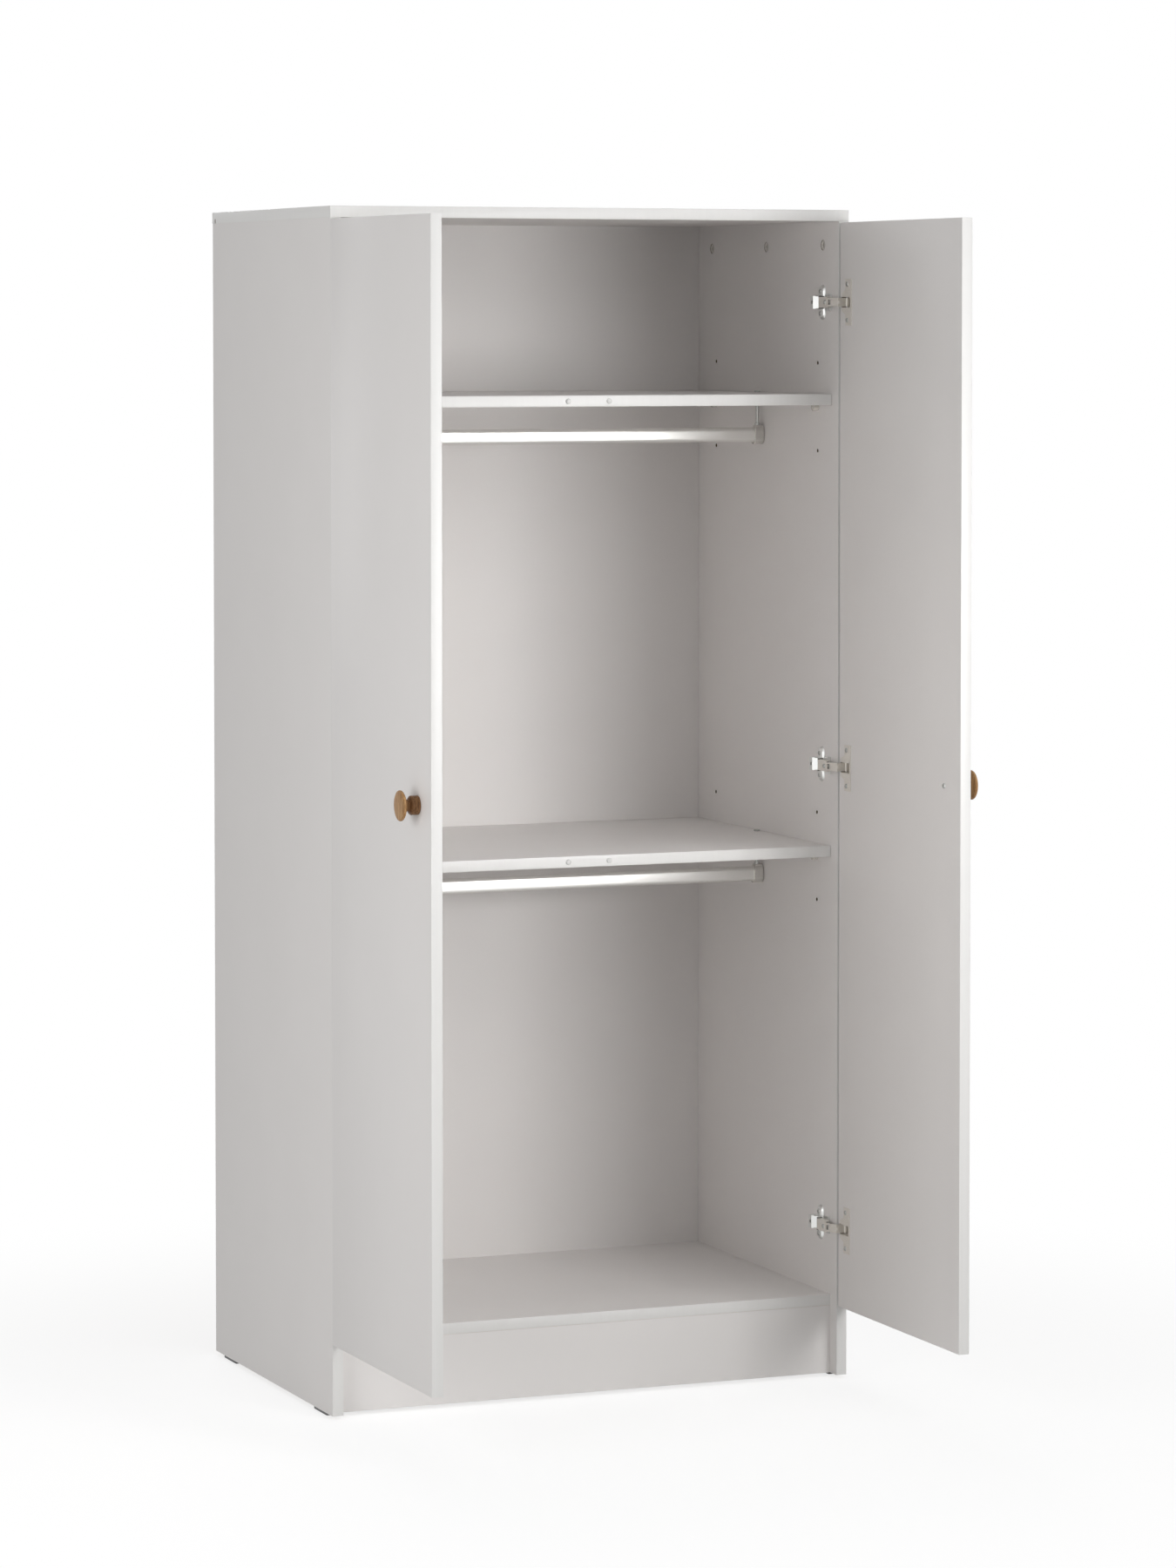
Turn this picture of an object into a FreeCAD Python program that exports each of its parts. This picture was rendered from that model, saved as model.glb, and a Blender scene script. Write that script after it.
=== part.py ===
import FreeCAD, Part
import Sketcher
import os
import re

# A free-standing two-door wardrobe in 16 mm laminated board, flat-pack construction.
# The frame: X across the front, +Y to the back, +Z up, origin on the floor under the
# middle of the whole piece with both doors standing open at a right angle.

doc = FreeCAD.newDocument("two_door_wardrobe")
sheet = doc.addObject("Spreadsheet::Sheet", "sizes")

# Driving sizes in millimetres: name, value, meaning
SIZES = (
    ("overall_width", 794, "outer face to outer face of the sides"),
    ("overall_height", 1700, "floor to the top face"),
    ("side_depth", 520, "front edge to rear edge of a side"),
    ("board", 16, "thickness of sides, top, bottom, shelves, plinth and doors"),
    ("top_overhang", 3, "top panel past the rear edges of the sides"),
    ("front_recess", 22, "shelves, bottom and plinth behind the front edges"),
    ("plinth_height", 99, "plinth board"),
    ("back_thickness", 3, "back panel"),
    ("back_margin", 10, "side behind the back panel"),
    ("groove_depth", 6, "groove for the back panel"),
    ("groove_clearance", 0.2, "back panel in its groove, each face"),
    ("overrun", 5, "cutters past the face they start from"),
    ("fit_clearance", 0.15, "fixed round pieces in their holes, on the radius"),
    ("running_clearance", 0.08, "hinge arm on its pin, on the radius"),
    ("glide_height", 5, "floor glide"),
    ("glide_length", 53, "floor glide, front to back"),
    ("glide_width", 12, "floor glide"),
    ("glide_setback", 59, "glide centre from the front or rear edge"),
    ("top_space", 250, "clear height above the upper shelf"),
    ("shelf_end_clearance", 0.5, "shelf end to the side"),
    ("shelf_back_clearance", 1, "shelf to the back panel"),
    ("pin_diameter", 5, "shelf support pin"),
    ("pin_hole_depth", 10, "holes in the sides for shelf supports"),
    ("pin_pitch", 64, "spacing of the spare holes"),
    ("pin_front_setback", 71, "front row behind the front edges"),
    ("pin_rear_setback", 67.5, "rear row before the back panel"),
    ("pin_drop", 3, "pin axis below the shelf"),
    ("pin_tab_length", 8, "support under the shelf"),
    ("pin_tab_diameter", 12, "rounded support under the shelf"),
    ("pin_end_gap", 0.5, "pin to the bottom of its hole"),
    ("plug_pitch", 63, "the two plugs in a shelf's front edge"),
    ("plug_head_diameter", 8, "plug head"),
    ("plug_head", 1.8, "plug head height"),
    ("plug_stem_diameter", 5, "plug stem"),
    ("plug_stem", 9, "plug stem length"),
    ("rail_height", 22, "oval rail"),
    ("rail_width", 12, "oval rail"),
    ("rail_wall", 1.2, "tube wall of the rail"),
    ("rail_drop", 36.5, "shelf underside to the top of the rail"),
    ("rail_setback", 269, "rail axis behind the front edges"),
    ("bracket_depth", 14, "rail bracket along the rail"),
    ("bracket_gap", 1, "rail bracket to the side"),
    ("bracket_wall", 3, "rail bracket"),
    ("lug_drop", 27.5, "shelf underside to the top of the bracket's lug"),
    ("lug_start", 3, "top of the lug behind the bracket's mouth"),
    ("lug_width", 12, "lug of the bracket, front to back"),
    ("bolt_diameter", 5, "bolt through the shelf"),
    ("bolt_setback", 8, "bolt axis from the side"),
    ("bolt_cap_diameter", 9, "cap on the shelf"),
    ("bolt_cap", 2.5, "cap height"),
    ("bolt_grip", 6, "bolt in the bracket's lug"),
    ("collar_diameter", 8, "collar of the bolt on the bracket"),
    ("collar", 3.5, "collar height"),
    ("cam_diameter", 15, "cam lock"),
    ("cam_depth", 12.5, "pocket for the cam lock"),
    ("cam_inset", 0.4, "cam face below the board's face"),
    ("cam_drop", 34, "cam axis from the joint"),
    ("cam_front_setback", 53.5, "first cam behind the front edges"),
    ("cam_rear_setback", 64.5, "last cam before the rear edges"),
    ("cam_slot_width", 2, "screwdriver slot"),
    ("cam_slot_depth", 3, "screwdriver slot"),
    ("cam_bolt_diameter", 6, "cam bolt"),
    ("cam_bolt_grip", 11, "cam bolt in the other board"),
    ("dowel_diameter", 8, "wooden dowel"),
    ("dowel_in_face", 11, "dowel in a board's face"),
    ("dowel_in_end", 19, "dowel in a board's end"),
    ("dowel_end_gap", 0.5, "dowel to the bottom of its hole"),
    ("nail_diameter", 2, "back panel nail"),
    ("nail_length", 18, "back panel nail"),
    ("nail_head_diameter", 6, "back panel nail"),
    ("nail_head", 1, "back panel nail head"),
    ("door_meeting_gap", 3, "between the closed doors"),
    ("door_top_gap", 2, "door to the underside of the top"),
    ("door_bottom_lap", 2.5, "door above the underside of the bottom panel"),
    ("door_gap", 3.6, "closed door in front of the sides"),
    ("axis_inset", 7.4, "hinge axis from the door's hinge edge"),
    ("axis_depth", 7.4, "hinge axis inside the door's inner face"),
    ("hinge_end_inset", 115, "outer hinges from the ends of a door"),
    ("cup_diameter", 35, "hinge cup"),
    ("cup_depth", 11.5, "bore for the hinge cup"),
    ("cup_floor_gap", 0.2, "cup to the bottom of its bore"),
    ("cup_tab", 3, "wood left between the cup and the door's edge"),
    ("cup_slot_width", 14.8, "slot in the cup for the arm"),
    ("cup_slot_depth", 10.3, "slot in the cup"),
    ("cup_slot_wall", 1.4, "cup wall at the ends of the slot"),
    ("flange_height", 67, "cup flange, up and down"),
    ("flange_thickness", 1.2, "cup flange"),
    ("flange_near", 12.9, "cup axis to the hinge side of the flange"),
    ("flange_far", 18.5, "cup axis to the far edge of the flange"),
    ("flange_end", 1.5, "cup axis to the hinge side of the flange's ends"),
    ("flange_waist", 26, "hinge side of the flange, up and down"),
    ("flange_shoulder", 36, "where the flange has narrowed, up and down"),
    ("cup_screw_pitch", 52, "cup screws"),
    ("cup_screw_offset", 5.5, "cup screws past the cup axis"),
    ("hinge_screw_diameter", 3.6, "cup and plate screws"),
    ("hinge_screw_length", 12, "cup and plate screws in the board"),
    ("hinge_screw_head_diameter", 7, "cup and plate screws"),
    ("hinge_screw_head", 1.6, "cup and plate screws"),
    ("hinge_pin_diameter", 2.6, "hinge pin"),
    ("hinge_pin_length", 18.5, "hinge pin"),
    ("plate_setback", 54, "plate wings behind the front edges"),
    ("plate_rear", 16, "plate behind the wings' middle"),
    ("plate_front", 31, "plate before the wings' middle"),
    ("plate_thickness", 4, "plate wings"),
    ("plate_width", 17, "plate under the arm"),
    ("plate_rail_width", 12.6, "rail of the plate inside the arm"),
    ("plate_rail_height", 5, "rail of the plate inside the arm"),
    ("wing_height", 51, "plate wings, tip to tip"),
    ("wing_width", 19, "plate wings"),
    ("ear_length", 14, "ears at the front end of the plate"),
    ("ear_width", 25, "ears at the front end of the plate, tip to tip"),
    ("clip_front", 41, "front of the plate's clip block behind the front edges"),
    ("clip_width", 18.5, "clip block, up and down"),
    ("clip_hole_diameter", 5, "release hole in the clip block"),
    ("clip_hole_depth", 5, "release hole in the clip block"),
    ("clip_hole_setback", 6, "release hole from the rear of the block"),
    ("plate_screw_pitch", 32, "plate screws"),
    ("arm_height", 13, "arm above the side's inner face"),
    ("arm_width", 16, "arm, up and down"),
    ("arm_wall", 1.2, "side walls of the arm"),
    ("arm_sheet", 2, "top sheet and nose of the arm"),
    ("arm_front", 12, "side walls of the arm end behind the front edges"),
    ("nose_bend", 5, "nose starts to slope behind the front edges"),
    ("nose_elbow", 14.6, "elbow of the nose from the hinge axis"),
    ("nose_width", 12.4, "nose of the arm"),
    ("nose_eye_diameter", 5.2, "eye of the nose round the pin"),
    ("arm_window_length", 7.5, "opening in the arm's top sheet"),
    ("arm_window_width", 7.6, "opening in the arm's top sheet"),
    ("arm_window_setback", 6, "opening behind the front edges"),
    ("arm_screw_diameter", 4, "adjusting screw"),
    ("arm_screw_head_diameter", 6.6, "adjusting screw"),
    ("arm_screw_head", 1.6, "adjusting screw"),
    ("arm_screw_length", 6, "adjusting screw"),
    ("adjuster_setback", 18, "adjusting screw behind the front edges"),
    ("knob_diameter", 41.5, "turned knob"),
    ("knob_length", 28, "turned knob"),
    ("knob_edge_inset", 51, "knob axis from the door's free edge"),
    ("knob_screw_diameter", 4, "knob screw"),
    ("knob_screw_head_diameter", 8, "knob screw"),
    ("knob_screw_head", 2, "knob screw"),
    ("knob_screw_grip", 14, "knob screw in the knob"),
)

for row, (alias, value, meaning) in enumerate(SIZES, 1):
    sheet.set(f"A{row}", meaning)
    sheet.set(f"B{row}", str(value))
    sheet.setAlias(f"B{row}", alias)
doc.recompute()

# Sizes and places that follow from the driving ones
DERIVED = {
    "inner_x": "overall_width / 2 - board",
    "top_under": "overall_height - board",
    "bottom_under": "glide_height + plinth_height",
    "floor_top": "bottom_under + board",
    "hanging_space": "(top_under - top_space - 2 * board - floor_top) / 2",
    "lower_shelf_height": "floor_top + hanging_space",
    "upper_shelf_height": "lower_shelf_height + board + hanging_space",
    "door_width": "(overall_width - door_meeting_gap) / 2",
    "door_bottom": "bottom_under + door_bottom_lap",
    "door_height": "top_under - door_top_gap - door_bottom",
    "axis_ahead": "axis_depth + door_gap",
    "open_face": "axis_inset + axis_depth",
    "open_edge": "axis_depth + door_gap - axis_inset",
    "top_depth": "side_depth + top_overhang",
    "front_y": "(open_edge + door_width - top_depth) / 2",
    "back_face": "front_y + side_depth - back_margin - back_thickness",
    "shelf_front": "front_y + front_recess",
    "axis_x": "overall_width / 2 - axis_inset",
    "axis_y": "front_y - axis_ahead",
    "door_inner_x": "overall_width / 2 - open_face",
    "door_edge_y": "front_y - open_edge",
    "cup_y": "door_edge_y - cup_tab - cup_diameter / 2",
    "knob_y": "door_edge_y - door_width + knob_edge_inset",
    "knob_z": "door_bottom + door_height / 2",
    "cam_z": "top_under - cam_drop",
    "cam_pitch": "(side_depth - cam_front_setback - cam_rear_setback) / 2",
    "floor_z": "bottom_under + board / 2",
    "rail_y": "front_y + rail_setback",
    "bracket_x": "inner_x - bracket_gap - bracket_depth",
    "bolt_x": "inner_x - bolt_setback",
    "plate_top_x": "inner_x - plate_thickness",
    "plate_y": "front_y + plate_setback",
    "arm_top": "board + arm_height",
    "arm_top_x": "inner_x - arm_height",
}
NAMES = {alias for alias, value, meaning in SIZES}
HINGES = {
    "top": "door_bottom + door_height - hinge_end_inset",
    "middle": "door_bottom + door_height / 2",
    "bottom": "door_bottom + hinge_end_inset",
}
SHELVES = {"upper": "upper_shelf_height", "lower": "lower_shelf_height"}
SIDES = ("left", "right")
CAM_STEPS = (0, 1, 2)
NAIL_SHARES = (-0.92, -0.46, 0, 0.46, 0.92)
PLINTH_DOWEL_SHARES = (0.27, 0.73)
# Knob profile from the door outwards: share of its radius, share of its length
KNOB_SHARES = (
    (0.57, 0.0), (0.62, 0.03), (0.63, 0.09), (0.61, 0.15), (0.57, 0.18),
    (0.60, 0.21), (0.62, 0.27), (0.60, 0.34), (0.52, 0.40), (0.42, 0.44),
    (0.37, 0.50), (0.37, 0.56), (0.42, 0.63), (0.55, 0.70), (0.76, 0.76),
    (0.92, 0.80), (0.98, 0.835), (1.0, 0.87), (0.985, 0.905), (0.92, 0.935),
    (0.76, 0.965), (0.52, 0.985), (0.26, 0.996),
)


def ex(text):
    """Write a sum of named sizes as an expression on the sheet."""
    def swap(match):
        word = match.group(0)
        if word in DERIVED:
            return "(" + ex(DERIVED[word]) + ")"
        return "sizes." + word if word in NAMES else word
    return re.sub(r"[A-Za-z_]\w*", swap, text)


def place(item, x, y, z, turn=None):
    if turn:
        item.Placement = FreeCAD.Placement(FreeCAD.Vector(), turn)
    for letter, text in zip("xyz", (x, y, z)):
        item.setExpression("Placement.Base." + letter, ex(text))
    return item


def box(x, y, z, length, width, height, label=None):
    item = doc.addObject("Part::Box", label or "block")
    for key, text in (("Length", length), ("Width", width), ("Height", height)):
        item.setExpression(key, ex(text))
    return place(item, x, y, z)


AXES = {
    "x": FreeCAD.Rotation(FreeCAD.Vector(0, 1, 0), 90),
    "y": FreeCAD.Rotation(FreeCAD.Vector(1, 0, 0), -90),
    "z": None,
}


def rod(axis, x, y, z, radius, length):
    """A cylinder from the point x, y, z along the positive axis."""
    item = doc.addObject("Part::Cylinder", "rod")
    item.setExpression("Radius", ex(radius))
    item.setExpression("Height", ex(length))
    return place(item, x, y, z, AXES[axis])


def across(side, start, span):
    """Lower x of a length that starts at start on the right and is mirrored on the left."""
    return start if side == "right" else f"-({start}) - ({span})"


def mirror(side, x):
    return x if side == "right" else f"-({x})"


def fuse(parts, label="joined"):
    item = doc.addObject("Part::MultiFuse", label)
    item.Shapes = parts
    item.Refine = True
    return item


def cut(base, tools, label="cut"):
    if len(tools) == 1:
        tool = tools[0]
    else:
        tool = doc.addObject("Part::Compound", "tools")
        tool.Links = tools
    item = doc.addObject("Part::Cut", label)
    item.Base = base
    item.Tool = tool
    return item


def group(parts, label):
    item = doc.addObject("Part::Compound", label)
    item.Links = parts
    return item


NODES = []


def node(item, label):
    item.Label = label
    NODES.append(item)
    return item


def sketch_on(body, role, name):
    item = body.newObject("Sketcher::SketchObject", name)
    support = [plane for plane in body.Origin.OriginFeatures if plane.Role == role][0]
    item.AttachmentSupport = [(support, "")]
    item.MapMode = "FlatFace"
    return item


def outline(sketch, points):
    """A closed outline whose corners are bound to sums of named sizes."""
    count = len(points)
    for step in range(count):
        start = FreeCAD.Vector(step, step * step % count)
        end = FreeCAD.Vector(step + 1, (step + 1) ** 2 % count)
        sketch.addGeometry(Part.LineSegment(start, end))
    for step in range(count):
        sketch.addConstraint(
            Sketcher.Constraint("Coincident", step, 2, (step + 1) % count, 1))
    for step, corner in enumerate(points):
        for kind, text in zip(("DistanceX", "DistanceY"), corner):
            rule = sketch.addConstraint(Sketcher.Constraint(kind, -1, 1, step, 1, 1))
            sketch.setExpression(f"Constraints[{rule}]", ex(text))


def circle(sketch, x, y, radius):
    sketch.addGeometry(Part.Circle(FreeCAD.Vector(), FreeCAD.Vector(0, 0, 1), 1))
    for kind, text in (("DistanceX", x), ("DistanceY", y)):
        rule = sketch.addConstraint(Sketcher.Constraint(kind, -1, 1, 0, 3, 1))
        sketch.setExpression(f"Constraints[{rule}]", ex(text))
    rule = sketch.addConstraint(Sketcher.Constraint("Radius", 0, 1))
    sketch.setExpression(f"Constraints[{rule}]", ex(radius))


def midplane(body, kind, sketch, length, name):
    """A pad or pocket to both sides of its sketch."""
    item = body.newObject("PartDesign::" + kind, name)
    item.Profile = sketch
    item.Midplane = True
    item.setExpression("Length", ex(length))
    return item


def oval(x, y, z, length, width, height):
    """A bar along x with a flat-sided oval section, centred on y and z."""
    half = f"({width}) / 2"
    core = box(x, f"{y} - {half}", f"{z} - ({height}) / 2 + {half}", length, width,
               f"{height} - ({width})")
    low = rod("x", x, y, f"{z} - ({height}) / 2 + {half}", half, length)
    high = rod("x", x, y, f"{z} + ({height}) / 2 - {half}", half, length)
    return fuse([core, low, high])


def cam_y(step):
    return f"front_y + cam_front_setback + {step} * cam_pitch"


def pin_rows(height):
    return [f"{height} - pin_drop + {step} * pin_pitch" for step in (-1, 0, 1)]


PIN_COLUMNS = ("front_y + pin_front_setback", "back_face - pin_rear_setback")
HOLE = "diameter / 2 + fit_clearance"

# The sides: laminated boards with the groove for the back, pockets for the cam locks,
# bores for their bolts and dowels, rows of shelf holes and holes for the hinge plates
for side in SIDES:
    def into(y, z, radius, depth):
        start = across(side, "inner_x - overrun", f"overrun + {depth}")
        return rod("x", start, y, z, radius, f"overrun + {depth}")

    tools = [box(across(side, "inner_x - overrun", "overrun + groove_depth"),
                 "back_face - groove_clearance", "glide_height - overrun",
                 "overrun + groove_depth", "back_thickness + 2 * groove_clearance",
                 "top_under - glide_height + 2 * overrun")]
    for step in CAM_STEPS:
        bore = rod("z", mirror(side, "inner_x + board / 2"), cam_y(step), "cam_z",
                   "cam_bolt_" + HOLE, "cam_drop + overrun")
        pocket = into(cam_y(step), "cam_z", "cam_diameter / 2 + fit_clearance", "cam_depth")
        tools.append(fuse([bore, pocket]))
    for step in (0, 1):
        tools.append(rod("z", mirror(side, "inner_x + board / 2"),
                         cam_y(step) + " + cam_pitch / 2", "top_under - dowel_in_end",
                         "dowel_" + HOLE, "dowel_in_end + overrun"))
    for step in (0, 2):
        tools.append(into(cam_y(step), "floor_z", "cam_bolt_" + HOLE, "cam_bolt_grip"))
    tools.append(into(cam_y(1), "floor_z", "dowel_" + HOLE, "dowel_in_face"))
    for share in PLINTH_DOWEL_SHARES:
        tools.append(into("shelf_front + board / 2", f"glide_height + {share} * plinth_height",
                          "dowel_" + HOLE, "dowel_in_face"))
    for height in SHELVES.values():
        for row_z in pin_rows(height):
            for column in PIN_COLUMNS:
                tools.append(into(column, row_z, "pin_" + HOLE, "pin_hole_depth"))
    for height in HINGES.values():
        for way in ("+", "-"):
            tools.append(into("plate_y", f"{height} {way} plate_screw_pitch / 2",
                              "hinge_screw_" + HOLE, "hinge_screw_length"))
    panel = box(across(side, "inner_x", "board"), "front_y", "glide_height",
                "board", "side_depth", "top_under - glide_height")
    node(cut(panel, tools), side + "_side_panel")

# The top: caps both sides, with the back's groove run through to its ends
tools = [box("-overall_width / 2 - overrun", "back_face - groove_clearance", "top_under - overrun",
             "overall_width + 2 * overrun", "back_thickness + 2 * groove_clearance",
             "groove_depth + overrun")]
for side in SIDES:
    for step in CAM_STEPS:
        tools.append(rod("z", mirror(side, "inner_x + board / 2"), cam_y(step),
                         "top_under - overrun", "cam_bolt_" + HOLE, "cam_bolt_grip + overrun"))
    for step in (0, 1):
        tools.append(rod("z", mirror(side, "inner_x + board / 2"),
                         cam_y(step) + " + cam_pitch / 2", "top_under - overrun",
                         "dowel_" + HOLE, "dowel_in_face + overrun"))
panel = box("-overall_width / 2", "front_y", "top_under", "overall_width", "top_depth", "board")
node(cut(panel, tools), "top_panel")

# The bottom: between the sides on the plinth, cam pockets in its underside
tools = []
for side in SIDES:
    for step in (0, 2):
        end_bore = rod("x", across(side, "inner_x - cam_drop", "cam_drop + overrun"), cam_y(step),
                       "floor_z", "cam_bolt_" + HOLE, "cam_drop + overrun")
        pocket = rod("z", mirror(side, "inner_x - cam_drop"), cam_y(step),
                     "bottom_under - overrun", "cam_diameter / 2 + fit_clearance",
                     "cam_depth + overrun")
        tools.append(fuse([end_bore, pocket]))
    tools.append(rod("x", across(side, "inner_x - dowel_in_end", "dowel_in_end + overrun"),
                     cam_y(1), "floor_z", "dowel_" + HOLE, "dowel_in_end + overrun"))
for share in NAIL_SHARES:
    tools.append(rod("y", f"{share} * inner_x", "back_face - nail_length + back_thickness",
                     "floor_z", "nail_" + HOLE, "nail_length + overrun"))
panel = box("-inner_x", "shelf_front", "bottom_under", "2 * inner_x", "back_face - shelf_front",
            "board")
node(cut(panel, tools), "bottom_panel")

# The plinth: a board on edge under the front of the bottom, dowelled to the sides
tools = []
for side in SIDES:
    for share in PLINTH_DOWEL_SHARES:
        tools.append(rod("x", across(side, "inner_x - dowel_in_end", "dowel_in_end + overrun"),
                         "shelf_front + board / 2", f"glide_height + {share} * plinth_height",
                         "dowel_" + HOLE, "dowel_in_end + overrun"))
panel = box("-inner_x", "shelf_front", "glide_height", "2 * inner_x", "board", "plinth_height")
node(cut(panel, tools), "plinth")

# The back: thin board slid into the grooves, nailed to the rear edge of the bottom
reach = "inner_x + groove_depth - groove_clearance"
panel = box(f"-({reach})", "back_face", "bottom_under", f"2 * ({reach})", "back_thickness",
            "top_under + groove_depth - groove_clearance - bottom_under")
tools = [rod("y", f"{share} * inner_x", "back_face - overrun", "floor_z", "nail_" + HOLE,
             "back_thickness + 2 * overrun") for share in NAIL_SHARES]
node(cut(panel, tools), "back_panel")

nails = []
for share in NAIL_SHARES:
    shank = rod("y", f"{share} * inner_x", "back_face + back_thickness - nail_length", "floor_z",
                "nail_diameter / 2", "nail_length")
    head = rod("y", f"{share} * inner_x", "back_face + back_thickness", "floor_z",
               "nail_head_diameter / 2", "nail_head")
    nails.append(fuse([shank, head]))
node(group(nails, "nails"), "back_panel_nails")

# Knock-down fittings: cam locks with their bolts, and wooden dowels
locks = []
bolts = []
dowels = []
for side in SIDES:
    for step in CAM_STEPS:
        lock = rod("x", across(side, "inner_x + cam_inset", "cam_depth - cam_inset"), cam_y(step),
                   "cam_z", "cam_diameter / 2", "cam_depth - cam_inset")
        way = rod("z", mirror(side, "inner_x + board / 2"), cam_y(step), "cam_z",
                  "cam_bolt_" + HOLE, "cam_drop")
        slot = box(across(side, "inner_x", "cam_slot_depth"), cam_y(step) + " - cam_diameter / 2",
                   "cam_z - cam_slot_width / 2", "cam_slot_depth", "cam_diameter",
                   "cam_slot_width")
        locks.append(cut(lock, [way, slot]))
        bolts.append(rod("z", mirror(side, "inner_x + board / 2"), cam_y(step), "cam_z",
                         "cam_bolt_diameter / 2", "cam_drop + cam_bolt_grip"))
    for step in (0, 2):
        lock = rod("z", mirror(side, "inner_x - cam_drop"), cam_y(step), "bottom_under + cam_inset",
                   "cam_diameter / 2", "cam_depth - cam_inset")
        way = rod("x", across(side, "inner_x - cam_drop", "cam_drop"), cam_y(step), "floor_z",
                  "cam_bolt_" + HOLE, "cam_drop")
        slot = box(f"{mirror(side, 'inner_x - cam_drop')} - cam_diameter / 2",
                   cam_y(step) + " - cam_slot_width / 2", "bottom_under", "cam_diameter",
                   "cam_slot_width", "cam_slot_depth")
        locks.append(cut(lock, [way, slot]))
        bolts.append(rod("x", across(side, "inner_x - cam_drop", "cam_drop + cam_bolt_grip"),
                         cam_y(step), "floor_z", "cam_bolt_diameter / 2",
                         "cam_drop + cam_bolt_grip"))
    length = "dowel_in_face + dowel_in_end - 2 * dowel_end_gap"
    flat = across(side, "inner_x - dowel_in_end + dowel_end_gap", length)
    for step in (0, 1):
        dowels.append(rod("z", mirror(side, "inner_x + board / 2"),
                          cam_y(step) + " + cam_pitch / 2",
                          "top_under - dowel_in_end + dowel_end_gap", "dowel_diameter / 2", length))
    dowels.append(rod("x", flat, cam_y(1), "floor_z", "dowel_diameter / 2", length))
    for share in PLINTH_DOWEL_SHARES:
        dowels.append(rod("x", flat, "shelf_front + board / 2",
                          f"glide_height + {share} * plinth_height", "dowel_diameter / 2", length))
node(group(locks, "locks"), "cam_locks")
node(group(bolts, "bolts"), "cam_bolts")
node(group(dowels, "dowels"), "wood_dowels")

# Floor glides: thin plastic pads under the ends of the sides
glides = []
for side in SIDES:
    for middle in ("front_y + glide_setback", "front_y + side_depth - glide_setback"):
        glides.append(box(f"{mirror(side, 'inner_x + board / 2')} - glide_width / 2",
                          f"{middle} - glide_length / 2", "0", "glide_width", "glide_length",
                          "glide_height"))
node(group(glides, "glides"), "floor_glides")

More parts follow.
